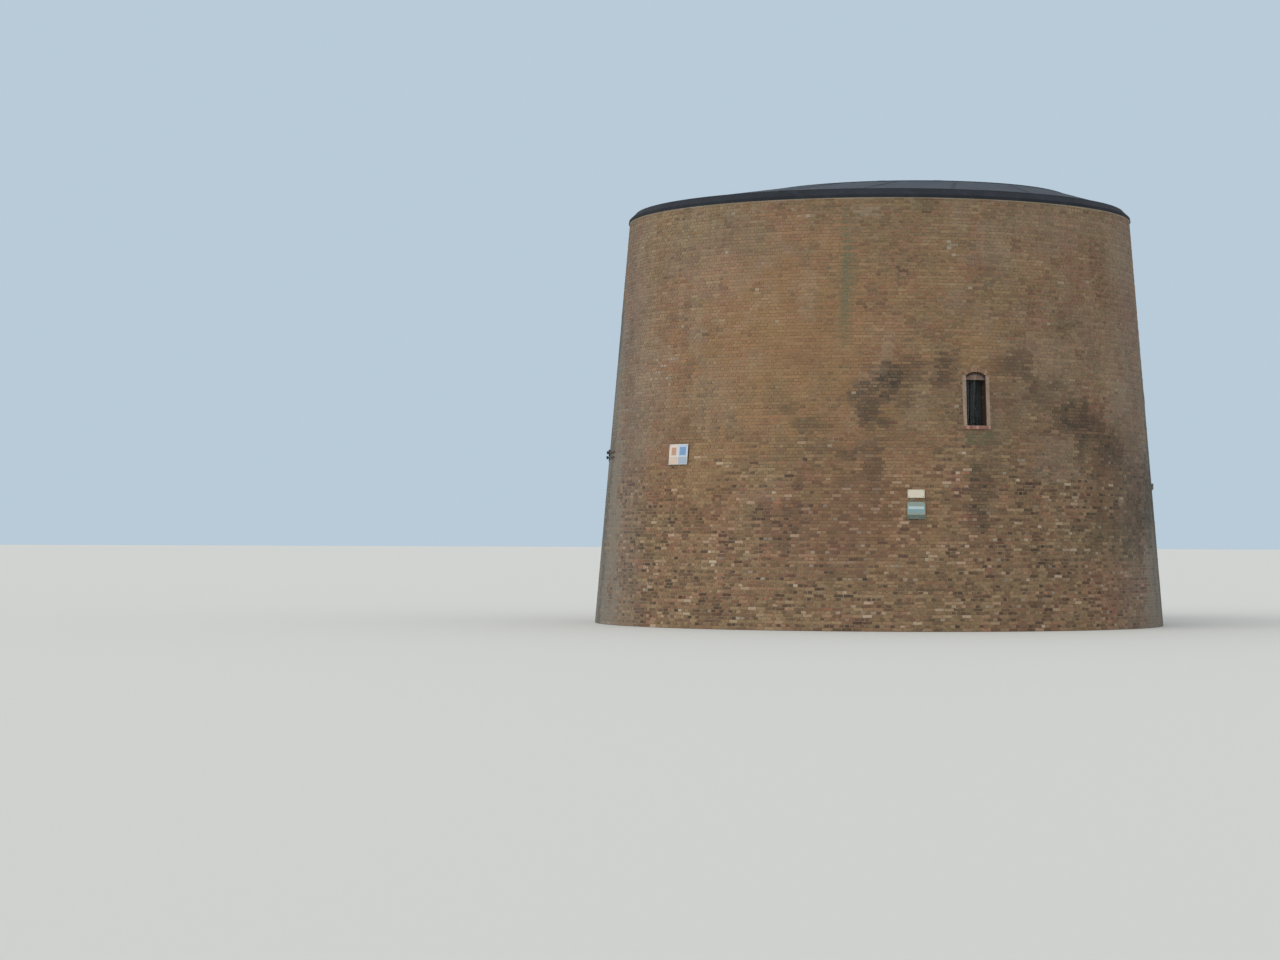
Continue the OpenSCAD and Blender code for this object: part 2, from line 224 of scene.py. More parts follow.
def ripple(points, size, seed, upright=1.0, waves=24):
    """Smooth random field with mean 0 and spread 1: the sum of plane waves of random direction and
    phase, with lengths about size, over the root of half their number. upright draws the field out
    along Z."""
    rng = np.random.default_rng(seed)
    along = rng.normal(size=(waves, 3))
    along /= np.linalg.norm(along, axis=1, keepdims=True)
    along *= (2 * math.pi / size * rng.uniform(0.5, 1.7, waves))[:, None]
    along[:, 2] /= upright
    phase = rng.uniform(0, 2 * math.pi, waves)
    return np.cos(points @ along.T + phase).sum(axis=1) / math.sqrt(waves / 2)


def whole_turn(steps):
    """Angles of a full turn in even steps, without the last, which is the first again."""
    return np.linspace(0, 2 * math.pi, steps, endpoint=False)


def circle(radius, steps):
    """Points of a circle in the plane of a section."""
    turn = whole_turn(steps)
    return radius * np.stack([np.cos(turn), np.sin(turn)], axis=1)


def unit(vectors):
    """Vectors brought to length 1."""
    return vectors / np.linalg.norm(vectors, axis=-1, keepdims=True)


def facing(angle):
    """Level directions at an angle in degrees: straight out of the wall, and along it to the
    right."""
    turn = math.radians(angle)
    return np.array([[math.cos(turn), math.sin(turn), 0.0], [-math.sin(turn), math.cos(turn), 0.0]])


def degrees_past(at, angle):
    """Degrees from one angle to another, the short way round."""
    return (angle - at + 180) % 360 - 180


# Marks of weather on the wall, each with its angle in degrees, height, half width in degrees, half
# height and strength. Angles run from the landward axis, and the photograph shows those from about
# -170 to -5. Soot and damp first, with one painted shadow line beside the front window
SOOT_AND_SHADOW = [
    (-83, 5.88, 3.2, 0.30, 0.55), (-77, 5.85, 2.0, 0.42, 0.76), (-88, 5.65, 4.2, 0.40, 0.88),
    (-92, 5.15, 3.4, 0.55, 0.80), (-90, 4.75, 3.4, 0.16, 0.65), (-84.5, 5.18, 2.0, 0.28, 0.50),
    (-61, 6.00, 4.2, 0.34, 0.62), (-54, 5.35, 5.0, 0.40, 0.45), (-45, 4.78, 6.8, 0.42, 0.90),
    (-37, 4.22, 8.0, 0.52, 0.78), (-97, 2.50, 13.0, 1.20, 0.32), (-30, 3.60, 17.0, 1.40, 0.24),
    (-28, 3.50, 15.0, 0.50, 0.50), (-27, 2.50, 16.0, 0.75, 0.58), (-62, 4.95, 5.0, 0.90, 0.24),
    # The patch at -66.6 degrees, just landward of the front window's strip, is a painted shadow
    # line
    (-66.6, 4.80, 1.2, 1.00, 0.40), (-66, 3.62, 2.2, 0.25, 0.40),
    (-91, 3.65, 2.5, 0.75, 0.60), (-103, 4.64, 4.5, 0.16, 0.55), (-108, 5.02, 3.0, 0.12, 0.45),
    (-95, 3.94, 3.2, 0.16, 0.55), (-95.5, 3.38, 3.2, 0.22, 0.50), (-91, 4.15, 3.0, 0.18, 0.40),
    (-69.8, 2.95, 2.6, 0.80, 0.70), (-106, 2.80, 1.6, 0.14, 0.60), (-132.5, 4.62, 1.6, 0.22, 0.40),
    (-46, 7.20, 4.5, 0.45, 0.22), (-119, 8.95, 4.5, 0.45, 0.20),
    (-10, 3.10, 17.0, 1.00, 0.80), (-170, 4.40, 7.0, 0.40, 0.35), (-105, 3.98, 8.0, 0.34, 0.34),
    (-88, 4.30, 5.0, 0.45, 0.24), (-136, 4.40, 7.0, 0.20, 0.22),
    (60, 5.95, 9.0, 0.45, 0.75), (78, 5.30, 4.0, 0.60, 0.70), (112, 4.20, 12.0, 0.60, 0.55),
    (20, 5.80, 3.5, 0.50, 0.50), (35, 3.40, 14.0, 0.60, 0.50), (150, 3.00, 15.0, 0.70, 0.45),
]
MOSS = [
    (-80, 9.62, 1.8, 0.14, 0.80), (-70, 4.36, 3.2, 0.19, 1.00),
    (-110, 5.25, 2.3, 0.38, 0.45), (-66, 8.90, 1.0, 0.90, 0.40), (-116, 9.10, 1.0, 0.70, 0.30),
    (-40, 2.00, 14.0, 0.60, 0.35), (70, 4.38, 4.0, 0.20, 0.70), (97, 8.30, 1.6, 1.40, 0.70),
    (8, 3.00, 6.0, 0.40, 0.50), (40, 9.00, 1.4, 0.90, 0.45), (160, 8.60, 2.0, 1.10, 0.50),
]
# Green runs of rain water down the wall from its head, sharper than the rest
RUNS = [
    (-96.8, 8.20, 0.85, 1.60, 1.50), (-95.0, 8.60, 0.70, 1.20, 0.90),
    (-104, 8.90, 0.60, 1.00, 0.35),
    (-66, 8.90, 0.50, 1.00, 0.45), (-84, 9.10, 0.40, 0.80, 0.35), (-119, 9.00, 0.50, 1.00, 0.35),
    (-50, 9.00, 0.45, 1.10, 0.35), (25, 8.70, 0.60, 1.30, 0.60), (97, 8.30, 0.70, 1.60, 0.80),
    (128, 8.90, 0.50, 1.10, 0.50), (165, 8.60, 0.60, 1.40, 0.60), (-152, 9.00, 0.50, 0.90, 0.45),
]
# Pale crust of lime and salt
PALE = [
    (-128, 8.60, 16.0, 1.30, 0.20), (-50, 9.30, 16.0, 0.50, 0.18), (-52, 6.10, 12.0, 0.80, 0.16),
    (-105, 9.42, 2.2, 0.07, 0.90), (-115, 3.07, 3.6, 0.20, 0.15), (-75, 8.68, 0.5, 0.03, 1.00),
    (-99, 4.29, 0.6, 0.03, 1.00), (-91, 9.55, 3.4, 0.10, 0.35), (-124, 9.00, 7.0, 0.55, 0.10),
    (-131, 6.95, 3.0, 0.55, 0.25), (-147, 5.30, 7.5, 1.60, 0.24), (100, 6.40, 7.0, 0.60, 0.25),
    (130, 3.20, 5.0, 0.30, 0.40), (25, 7.60, 6.0, 0.80, 0.25), (-38, 6.50, 11.0, 1.10, 0.15),
    (-31, 5.35, 6.0, 0.45, 0.30), (-24, 8.90, 8.0, 0.90, 0.22), (-65, 8.80, 5.0, 0.90, 0.16),
    (-126, 5.40, 6.0, 0.80, 0.18), (-152, 7.50, 7.0, 1.10, 0.22), (-51, 3.90, 6.0, 0.70, 0.20),
]
# Redder clay, and then browner and warmer clay
RED = [
    (-97, 2.40, 14.0, 1.10, 0.40), (-112, 9.15, 8.0, 0.45, 0.35), (-139, 6.00, 6.0, 2.20, 0.30),
    (-125, 7.60, 5.0, 0.40, 0.35), (-66, 9.00, 3.0, 0.60, 0.35), (-78, 3.60, 2.5, 0.25, 0.35),
    (-103, 3.40, 1.6, 0.18, 0.70), (-74, 3.30, 1.9, 0.35, 0.45), (-46, 8.75, 2.0, 0.65, 0.45),
    (-53, 8.70, 5.0, 0.35, 0.30), (-118, 8.30, 5.0, 0.45, 0.30), (-93, 6.20, 3.0, 0.90, 0.20),
    (80, 3.40, 6.0, 0.50, 0.35), (120, 8.20, 6.0, 0.50, 0.30), (40, 7.20, 5.0, 0.80, 0.25),
]
WARM = [
    (-110, 6.60, 22.0, 2.30, 0.80), (-92, 3.10, 14.0, 1.60, 0.55), (-128, 3.60, 12.0, 1.30, 0.45),
    (-68, 6.50, 6.0, 0.60, 0.60), (-75, 7.60, 10.0, 1.00, 0.25),
    (95, 6.50, 24.0, 2.30, 0.70), (10, 7.00, 18.0, 1.80, 0.50), (150, 6.00, 14.0, 1.60, 0.50),
]
# Places where many headers are pale with crust
SPECKS = [(-145, 6.15, 7.0, 0.55, 1.0), (-28, 7.0, 4.0, 0.4, 0.8)]
# Distances from the axis past which the seaward and landward edges carry cement render, and its top
RENDER_SEAWARD_X = -6.05
RENDER_LANDWARD_X = 6.22
RENDER_TOP = 7.7
# Grey bloom of salt toward both of those edges: how strong it is, and the distance from which it
# grows
BLOOM = 0.24
BLOOM_FROM = 5.2
# Height under which the bricks are worn and pitted
WORN_Z = 4.35


def in_patches(points, patches, ragged, seed):
    """Strongest of the patches at each point: each is a soft ellipse in angle and height, 1 at its
    middle, and ripples of 0.55 m and 0.2 m move its edge in and out by the share ragged."""
    degrees = np.degrees(np.arctan2(points[:, 1], points[:, 0]))
    edge = ragged * (0.7 * ripple(points, 0.55, seed) + 0.3 * ripple(points, 0.2, seed + 1))
    found = np.zeros(len(points))
    for angle, height, half_angle, half_height, strength in patches:
        across = degrees_past(angle, degrees) / half_angle
        far = np.hypot(across, (points[:, 2] - height) / half_height)
        found = np.maximum(found, strength * smooth((1.35 - far + edge) / 0.75))
    return found


def weathering(points):
    """Layers of weather at points on the wall, each from 0 to 1, as two vectors: soot with one
    painted shadow line, moss and pale crust, then cement render with painted shade near the
    tower's outline, red and warm clay."""
    z = points[:, 2]
    # Besides the marks, ripples lay faint soot low on the wall, moss near its head and pale crust
    # higher than 3 m
    streaks = smooth(0.5 + 0.45 * ripple(points, 0.7, 31, upright=7))
    soot_and_shade = in_patches(points, SOOT_AND_SHADOW, 0.30, 11)
    faint = smooth(0.3 * ripple(points, 1.6, 13) - 0.25) * smooth((8.5 - z) / 3)
    soot_and_shade = np.maximum(soot_and_shade, 0.35 * faint)
    moss = in_patches(points, MOSS, 0.25, 17)
    moss = np.maximum(moss, 0.22 * streaks * smooth((z - 7.6) / 2.2))
    pale = in_patches(points, PALE, 0.40, 19)
    faint = smooth(0.6 * ripple(points, 1.1, 21, upright=2) - 0.45) * smooth((z - 3) / 3)
    pale = np.maximum(pale, 0.20 * faint)
    # The render has a ragged edge and top and holes, and is darkest in streaks on the far sides,
    # where its darkening near the tower's outline is painted shade
    out = np.abs(points[:, 0])
    wander = 0.05 * ripple(points, 0.6, 23)
    seaward = smooth((RENDER_SEAWARD_X - points[:, 0] + wander) / 0.10)
    landward = smooth((points[:, 0] - RENDER_LANDWARD_X + wander) / 0.12)
    outline_shade = smooth((out / wall_r(z) - 0.948) / 0.024 + 0.30 * ripple(points, 1.5, 71, upright=2))
    whole = 1 - smooth(1.4 * ripple(points, 0.8, 73) - 2.2)
    top = smooth((RENDER_TOP - z + 0.18 * ripple(points, 1.3, 75)) / 0.12)
    shade = 0.68 + 0.32 * outline_shade * (0.35 + 0.65 * streaks)
    render_and_shade = np.maximum(seaward, landward) * shade * whole * top
    render_and_shade = np.maximum(render_and_shade, BLOOM * smooth((out - BLOOM_FROM) / 0.8))
    red = in_patches(points, RED, 0.35, 27)
    red = np.maximum(red, 0.30 * smooth(0.5 * ripple(points, 2.2, 29, upright=1.5) - 0.2))
    warm = in_patches(points, WARM, 0.35, 37)
    return np.stack([soot_and_shade, moss, pale], axis=1), np.stack([render_and_shade, red, warm], axis=1)


def piece(name, points, faces, material, layers=None, uv=None, rounded=False):
    """Mesh object from an array of points and a list of face arrays, each with its own number of
    corners, in place on the tower. layers are values for each point, and uv has one pair for each
    corner of each face. A rounded piece is shaded smooth but for its sharp edges."""
    mesh = bpy.data.meshes.new(name)
    corners = np.concatenate([f.ravel() for f in faces]).astype(np.int32)
    widths = np.concatenate([np.full(len(f), f.shape[1]) for f in faces])
    mesh.vertices.add(len(points))
    mesh.vertices.foreach_set("co", np.asarray(points, np.float32).ravel())
    mesh.loops.add(len(corners))
    mesh.loops.foreach_set("vertex_index", corners)
    mesh.polygons.add(len(widths))
    mesh.polygons.foreach_set("loop_start", (np.cumsum(widths) - widths).astype(np.int32))
    mesh.polygons.foreach_set("use_smooth", np.full(len(widths), rounded))
    for layer, values in (layers or {}).items():
        kind, field = ("FLOAT_VECTOR", "vector") if values.ndim == 2 else ("FLOAT", "value")
        attribute = mesh.attributes.new(layer, kind, "POINT")
        attribute.data.foreach_set(field, values.astype(np.float32).ravel())
    if uv is not None:
        mesh.uv_layers.new(name="OFBake").data.foreach_set("uv", uv.astype(np.float32).ravel())
    mesh.update(calc_edges=True)
    mesh.validate()
    if rounded:
        mesh.set_sharp_from_angle(angle=math.radians(40))
    mesh.materials.append(material)
    made = bpy.data.objects.new(name, mesh)
    bpy.context.scene.collection.objects.link(made)
    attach(made, "root")
    return made


# Corners of a block run low left, low right, high right, high left as seen from outside, behind and
# then in front
BLOCK_FACES = np.array([
    [4, 5, 6, 7], [3, 2, 1, 0], [0, 1, 5, 4], [1, 2, 6, 5], [2, 3, 7, 6], [3, 0, 4, 7],
])


def block_faces(count):
    """Faces of a row of blocks of eight points each."""
    return (BLOCK_FACES[None] + 8 * np.arange(count)[:, None, None]).reshape(-1, 4)


def wall_blocks(angle, across, z, behind, out):
    """Eight points of each block on the wall: across and z hold its four corners, from the low left
    one, and behind and out are the distances of its back and front from the wall's face."""
    back = on_wall(angle, across, z, behind)
    front = on_wall(angle, across, z, out)
    return np.concatenate([back, front], axis=-2)


def sheet_faces(rows, columns, round_columns=False, round_rows=False):
    """Faces of a grid of points numbered along its rows, closed where it goes round."""
    down = np.arange(rows if round_rows else rows - 1)[:, None]
    right = np.arange(columns if round_columns else columns - 1)[None]
    low, high = down * columns, (down + 1) % rows * columns
    corners = (low + right, low + (right + 1) % columns, high + (right + 1) % columns, high + right)
    return np.stack(np.broadcast_arrays(*corners), axis=-1).reshape(-1, 4)


def fan(first, steps, tip):
    """Triangles between a ring of points, numbered from the first, and a tip."""
    i = np.arange(steps)
    return np.stack([first + i, first + (i + 1) % steps, np.full(steps, tip)], axis=1)


def ring(profile, centre_x, steps=360):
    """Closed ring: a profile of radius and height, counter-clockwise, turned about the upright line
    at centre_x."""
    radius, z = np.array(profile).T
    points = around(whole_turn(steps)[None], radius[:, None], z[:, None])
    points[..., 0] += centre_x
    faces = sheet_faces(len(radius), steps, round_columns=True, round_rows=True)
    return points.reshape(-1, 3), [faces]


def carried(paths, side, up, profile):
    """Bars: a closed profile carried along each path. paths has the points of each one, side and up
    the two directions that span its section there, and each end is closed by one face."""
    count, steps, _ = paths.shape
    profile = np.asarray(profile)
    offsets = profile[:, 0, None] * side[..., None, :] + profile[:, 1, None] * up[..., None, :]
    points = paths[:, :, None] + offsets
    first = np.arange(count)[:, None, None] * steps * len(profile)
    walls = (sheet_faces(steps, len(profile), round_columns=True)[None] + first).reshape(-1, 4)
    end = np.arange(len(profile))[None] + first[:, 0]
    caps = np.concatenate([end[:, ::-1], end + (steps - 1) * len(profile)])
    return points.reshape(-1, 3), [walls, caps]


def joined(parts):
    """One array of points and one list of faces from several of each."""
    points, faces, first = [], [], 0
    for some_points, some_faces in parts:
        points.append(some_points)
        faces += [f + first for f in some_faces]
        first += len(some_points)
    return np.concatenate(points), faces


def slabs(low, high, outward, across, up, origin, thick):
    """Flat plates on a plane: low and high are opposite corners across and up it, and thick its two
    distances outward from it. Returns eight points for each plate."""
    low, high, thick = (np.asarray(v, float) for v in (low, high, thick))
    corners = np.where(SQUARE, high[:, None], low[:, None])
    flat = origin + corners[..., :1] * across + corners[..., 1:] * up
    back = flat + thick[:, None, :1] * outward
    front = flat + thick[:, None, 1:] * outward
    return np.concatenate([back, front], axis=1)


def buttons(centres, outward, across, radius, height):
    """Domed heads of nails and bolts: rows of a dome from its rim to its top, each with 12 points
    and a radius of the head's times the cosine of the row's angle. Their feet go 4 mm into what
    they hold."""
    rows, steps, foot = 4, 12, -0.004 * outward
    rise = np.linspace(0, math.pi / 2, rows + 1)[:-1, None, None]
    turn = whole_turn(steps)[:, None]
    flat = radius * (np.cos(turn) * across + np.sin(turn) * np.cross(outward, across))
    shape = np.cos(rise) * flat[None] + height * np.sin(rise) * outward
    one = np.concatenate([flat[None] + foot, shape]).reshape(-1, 3)
    one = np.concatenate([one, [foot, height * outward]])
    size = len(one)
    points = (np.asarray(centres)[:, None] + one[None]).reshape(-1, 3)
    first = size * np.arange(len(centres))[:, None, None]
    walls = sheet_faces(rows + 1, steps, round_columns=True)
    top, under = fan(rows * steps, steps, size - 1), fan(0, steps, size - 2)[:, [1, 0, 2]]
    fans = np.concatenate([top, under])
    return points, [(walls + first).reshape(-1, 4), (fans + first).reshape(-1, 3)]


def shell_faces(kept):
    """Faces of a thin shell between two like grids of points, the front one first: both sides of
    each kept cell, and a rim wherever a kept cell has no kept neighbour."""
    rows, columns = kept.shape
    index = np.arange((rows + 1) * (columns + 1)).reshape(rows + 1, columns + 1)
    behind = index.size
    low_left, low_right = index[:-1, :-1], index[:-1, 1:]
    high_left, high_right = index[1:, :-1], index[1:, 1:]
    ringed = np.pad(kept, 1)
    faces = [
        np.stack([low_left, low_right, high_right, high_left], -1)[kept],
        np.stack([high_left, high_right, low_right, low_left], -1)[kept] + behind,
    ]
    for neighbour, first, second in (
        (ringed[:-2, 1:-1], low_left, low_right),
        (ringed[1:-1, 2:], low_right, high_right),
        (ringed[2:, 1:-1], high_right, high_left),
        (ringed[1:-1, :-2], high_left, low_left),
    ):
        rim = kept & ~neighbour
        faces.append(np.stack([first + behind, second + behind, second, first], -1)[rim])
    return np.concatenate(faces)


def linear(code):
    """Linear colour of an sRGB hex value: the lower part is a twelfth-and-a-bit line, and the rest
    a power of 2.4."""
    parts = [int(code[i:i + 2], 16) / 255 for i in (1, 3, 5)]
    return [*(p / 12.92 if p <= 0.04045 else ((p + 0.055) / 1.055) ** 2.4 for p in parts), 1.0]


def add(holder, kind, inputs, stops=(), **settings):
    """Adds a node to a material or a world and gives its outputs. settings are its properties,
    stops are places along its row of colours with their hex values, and inputs are its sockets by
    name or number, each with a value or with the output that feeds it."""
    node = holder.node_tree.nodes.new("ShaderNode" + kind)
    for name, value in settings.items():
        setattr(node, name, value)
    for place, _ in stops[1:-1]:
        node.color_ramp.elements.new(place)
    for place, (spot, code) in enumerate(stops):
        node.color_ramp.elements[place].position = spot
        node.color_ramp.elements[place].color = linear(code)
    for name, value in inputs.items():
        if isinstance(value, bpy.types.NodeSocket):
            holder.node_tree.links.new(value, node.inputs[name])
        else:
            node.inputs[name].default_value = value
    return node.outputs


def blank(name):
    """New material, and the only node in it yet: places on the tower, in metres."""
    material = bpy.data.materials.new(name)
    material.use_nodes = True
    material.node_tree.nodes.clear()
    return material, add(material, "TexCoord", {})["Object"]


def finished(material, colour, roughness, height, depth, **shader):
    """Ends a material: its shader, with relief of a depth in metres from a height from 0 to 1.
    shader holds plain values for the shader's other sockets."""
    relief = add(material, "Bump", {"Strength": 1.0, "Distance": depth, "Height": height})[0]
    inputs = {"Base Color": colour, "Roughness": roughness, "Normal": relief}
    inputs.update({name.replace("_", " "): value for name, value in shader.items()})
    body = add(material, "BsdfPrincipled", inputs)[0]
    add(material, "OutputMaterial", {"Surface": body})
    return material


# Settings that several materials share: a mix of two colours, a sum that stays from 0 to 1, noise
# with much fine detail, and rows of bricks that give each brick a tone from black to white
COLOURS = {"data_type": "RGBA"}
KEPT = {"operation": "MULTIPLY_ADD", "use_clamp": True}
MOTTLED = {"Detail": 6.0, "Roughness": 0.65}
BOND = {
    "Scale": 1.0, "Color1": (0, 0, 0, 1), "Color2": (1, 1, 1, 1), "Mortar": (0.5, 0.5, 0.5, 1),
    "Mortar Smooth": 0.3,
}
# Fired sand grit is under 1 mm, and is drawn at 7 mm to show. Blotches of dirt and clay are about
# 60 mm across, and rain draws stains out eight times as long as they are wide
GRIT = 0.007
BLOTCH = 0.060
RUN_OFF = (1.0, 1.0, 0.12)
# Floor boards are 180 mm wide. Oak's grain is under 1 mm across, and is drawn at 4 mm on boards and
# 10 mm on joists. Weathered timber's grain is about 1 mm across and felt's mineral grit 1 mm, and
# they are drawn at 5 mm and 12 mm
BOARD_W = 0.180
TIMBER_GRAIN = 0.005
FELT_GRIT = 0.012


def weathered(material, place, colour, patchy):
    """Lays the layers of weather that the points carry over a colour, one over the other: clay,
    crust, cement with painted shade at its darkest, moss, and soot with one painted shadow line.
    Rain streaks break up the moss, and patchy breaks up the soot."""
    grime = add(material, "Attribute", {}, attribute_name="grime")["Vector"]
    soot_and_shade, moss, pale = add(material, "SeparateXYZ", {0: grime})
    wash = add(material, "Attribute", {}, attribute_name="wash")["Vector"]
    render_and_shade, red, warm = add(material, "SeparateXYZ", {0: wash})
    drawn = add(material, "Mapping", {"Vector": place, "Scale": RUN_OFF})[0]
    streak = add(material, "TexNoise", {"Vector": drawn, "Scale": 1 / 0.22, "Detail": 4.0})[0]
    streaked = add(material, "Math", {0: streak, 1: 1.6, 2: -0.15}, **KEPT)[0]
    spotted = add(material, "Math", {0: patchy, 1: 1.5, 2: 0.10}, **KEPT)[0]
    # Painted shade: the cement's darkest end, at full render, stands for shade near the tower's
    # outline
    cement = add(material, "ValToRGB", {0: render_and_shade}, [
        (0.3, "#7b7876"), (0.6, "#8c8477"), (0.8, "#7e7970"), (1.0, "#66625a"),
    ])[0]
    for layer, strength, coat in (
        (warm, 0.55, linear("#a07c56")), (red, 0.50, linear("#96665a")),
        (pale, 0.75, linear("#aca190")), (render_and_shade, 1.12, cement),
        (moss, streaked, linear("#706c53")), (soot_and_shade, spotted, linear("#4a4239")),
    ):
        inputs = {0: layer, 1: strength}
        share = add(material, "Math", inputs, operation="MULTIPLY", use_clamp=True)[0]
        colour = add(material, "Mix", {0: share, 6: colour, 7: coat}, **COLOURS)[2]
    return colour


def brick_tone(material, patchy, spread):
    """Each brick's own tone, which blotches spread within it, and its hue, as the points carry
    them."""
    tone = add(material, "Attribute", {}, attribute_name="tone")["Fac"]
    hue = add(material, "Attribute", {}, attribute_name="hue")["Fac"]
    inputs = {0: patchy, 1: spread, 2: -spread / 2}
    mottled = add(material, "Math", inputs, operation="MULTIPLY_ADD")[0]
    return add(material, "Math", {0: tone, 1: mottled}, operation="ADD", use_clamp=True)[0], hue


def gritted(material, colour, grit, share, shade):
    """Darkens a colour between the grains of its grit by a share, down to a shade of grey."""
    grains = add(material, "ValToRGB", {0: grit}, [(0.3, shade), (0.7, "#ffffff")])[0]
    inputs = {0: share, 6: colour, 7: grains}
    return add(material, "Mix", inputs, blend_type="MULTIPLY", **COLOURS)[2]


def stock_brick():
    """Stock brick: hand-moulded clay fired in a clamp, so each brick has its own brown, from pale
    buff to burnt, with a sandy matt face that a century of spray has pitted and stained."""
    material, place = blank("stock_brick")
    patchy = add(material, "TexNoise", {"Vector": place, "Scale": 1 / BLOTCH, "Detail": 5.0})[0]
    grit = add(material, "TexNoise", {"Vector": place, "Scale": 1 / GRIT})[0]
    tone, hue = brick_tone(material, patchy, 0.34)
    brown = add(material, "ValToRGB", {0: tone}, [
        (0.0, "#3d342b"), (0.25, "#6a5743"), (0.5, "#897153"), (0.75, "#9e8565"), (1.0, "#beac94"),
    ])[0]
    russet = add(material, "ValToRGB", {0: tone}, [
        (0.0, "#42302a"), (0.4, "#815c49"), (0.8, "#a0745c"), (1.0, "#b89582"),
    ])[0]
    colour = add(material, "Mix", {0: hue, 6: brown, 7: russet}, **COLOURS)[2]
    colour = weathered(material, place, colour, patchy)
    colour = gritted(material, colour, grit, 0.35, "#b4b4b4")
    height = add(material, "Math", {0: grit, 1: patchy}, operation="ADD")[0]
    return finished(material, colour, 0.92, height, 0.002, Specular_IOR_Level=0.25)


def lime_mortar():
    """Lime mortar: slaked lime and beach sand, struck flush and since weathered back behind the
    bricks, so it is paler than they are where it is clean and takes every stain that they take."""
    material, place = blank("lime_mortar")
    patchy = add(material, "TexNoise", {"Vector": place, "Scale": 1 / BLOTCH, "Detail": 5.0})[0]
    grit = add(material, "TexNoise", {"Vector": place, "Scale": 1 / GRIT})[0]
    colour = add(material, "ValToRGB", {0: patchy}, [
        (0.25, "#726350"), (0.5, "#8d7d67"), (0.8, "#a89982"),
    ])[0]
    colour = weathered(material, place, colour, patchy)
    return finished(material, colour, 0.95, grit, 0.003, Specular_IOR_Level=0.2)


def rubbed_brick():
    """Rubbed brick: soft red-brown bricks cut to wedges for the arches, smoother and a little
    pinker than the wall's, with clouds of 30 mm in them. The outer ring of the doorway's is
    yellower."""
    material, place = blank("rubbed_brick")
    patchy = add(material, "TexNoise", {"Vector": place, "Scale": 1 / 0.030, "Detail": 4.0})[0]
    grit = add(material, "TexNoise", {"Vector": place, "Scale": 1 / GRIT})[0]
    tone, hue = brick_tone(material, patchy, 0.30)
    rose = add(material, "ValToRGB", {0: tone}, [
        (0.0, "#4b372e"), (0.4, "#86685a"), (0.7, "#a08270"), (1.0, "#b59c8a"),
    ])[0]
    buff = add(material, "ValToRGB", {0: tone}, [
        (0.0, "#4a3a2c"), (0.4, "#85694c"), (0.7, "#a58664"), (1.0, "#bda384"),
    ])[0]
    colour = add(material, "Mix", {0: hue, 6: rose, 7: buff}, **COLOURS)[2]
    return finished(material, colour, 0.88, grit, 0.0015, Specular_IOR_Level=0.25)


def from_axis(material, place):
    """Distance from the tower's axis: the length of a place's level part."""
    level = add(material, "VectorMath", {0: place, 1: (1, 1, 0)}, operation="MULTIPLY")[0]
    return add(material, "VectorMath", {0: level}, operation="LENGTH")["Value"]


def room_round(material, place):
    """Angle round the room's axis as a length on its wall, made a whole number of bricks so that no
    brick is cut where the angle starts again, and then the distance from that axis, and the
    height."""
    x, y, z = add(material, "SeparateXYZ", {0: place})
    x = add(material, "Math", {0: x, 1: ROOM_X}, operation="SUBTRACT")[0]
    bricks = round(2 * math.pi * ROOM_R / STRETCHER)
    turn = add(material, "Math", {0: y, 1: x}, operation="ARCTAN2")[0]
    inputs = {0: turn, 1: bricks * STRETCHER / (2 * math.pi)}
    along = add(material, "Math", inputs, operation="MULTIPLY")[0]
    flat = add(material, "CombineXYZ", {0: x, 1: y})[0]
    far = add(material, "VectorMath", {0: flat}, operation="LENGTH")["Value"]
    return along, far, z


def rows_of(material, place, flat, joint, wide, high, blotch, detail=5.0):
    """Rows of bricks or slabs on a flat map, with half the width of their joint: a tone for each,
    the joints, and blotches over them all."""
    sizes = {"Mortar Size": joint, "Brick Width": wide, "Row Height": high}
    tone, joint = add(material, "TexBrick", {"Vector": flat, **BOND, **sizes})
    blotches = {"Vector": place, "Scale": 1 / blotch, "Detail": detail}
    return tone, joint, add(material, "TexNoise", blotches)[0]


def coloured(material, tone, patchy, share, stops, joint, between):
    """Colour of bricks, slabs or boards from their tones with a share of blotches, and of what is
    between them."""
    mixed = add(material, "Mix", {0: share, 6: tone, 7: patchy}, **COLOURS)[2]
    colour = add(material, "ValToRGB", {0: mixed}, stops)[0]
    return add(material, "Mix", {0: joint, 6: colour, 7: linear(between)}, **COLOURS)[2]


def limewash(material, place, brick, joint, patchy):
    """Limewash over brickwork: coats of slaked lime brushed on thick, so bricks and joints show
    only as relief, grey and yellow with damp, and flaked off in places down to the brown brick."""
    white = add(material, "ValToRGB", {0: patchy}, [
        (0.2, "#8a816f"), (0.5, "#aba292"), (0.85, "#bfb8a8"),
    ])[0]
    bare = add(material, "ValToRGB", {0: brick}, [(0.0, "#5c4733"), (1.0, "#876b4e")])[0]
    bare = add(material, "Mix", {0: joint, 6: bare, 7: linear("#85755d")}, **COLOURS)[2]
    inputs = {"Vector": place, "Scale": 1 / 0.35, "Detail": 8.0, "Roughness": 0.7}
    flakes = add(material, "TexNoise", inputs)[0]
    flaked = add(material, "Math", {0: flakes, 1: 9.0, 2: -5.4}, **KEPT)[0]
    return add(material, "Mix", {0: flaked, 6: white, 7: bare}, **COLOURS)[2]


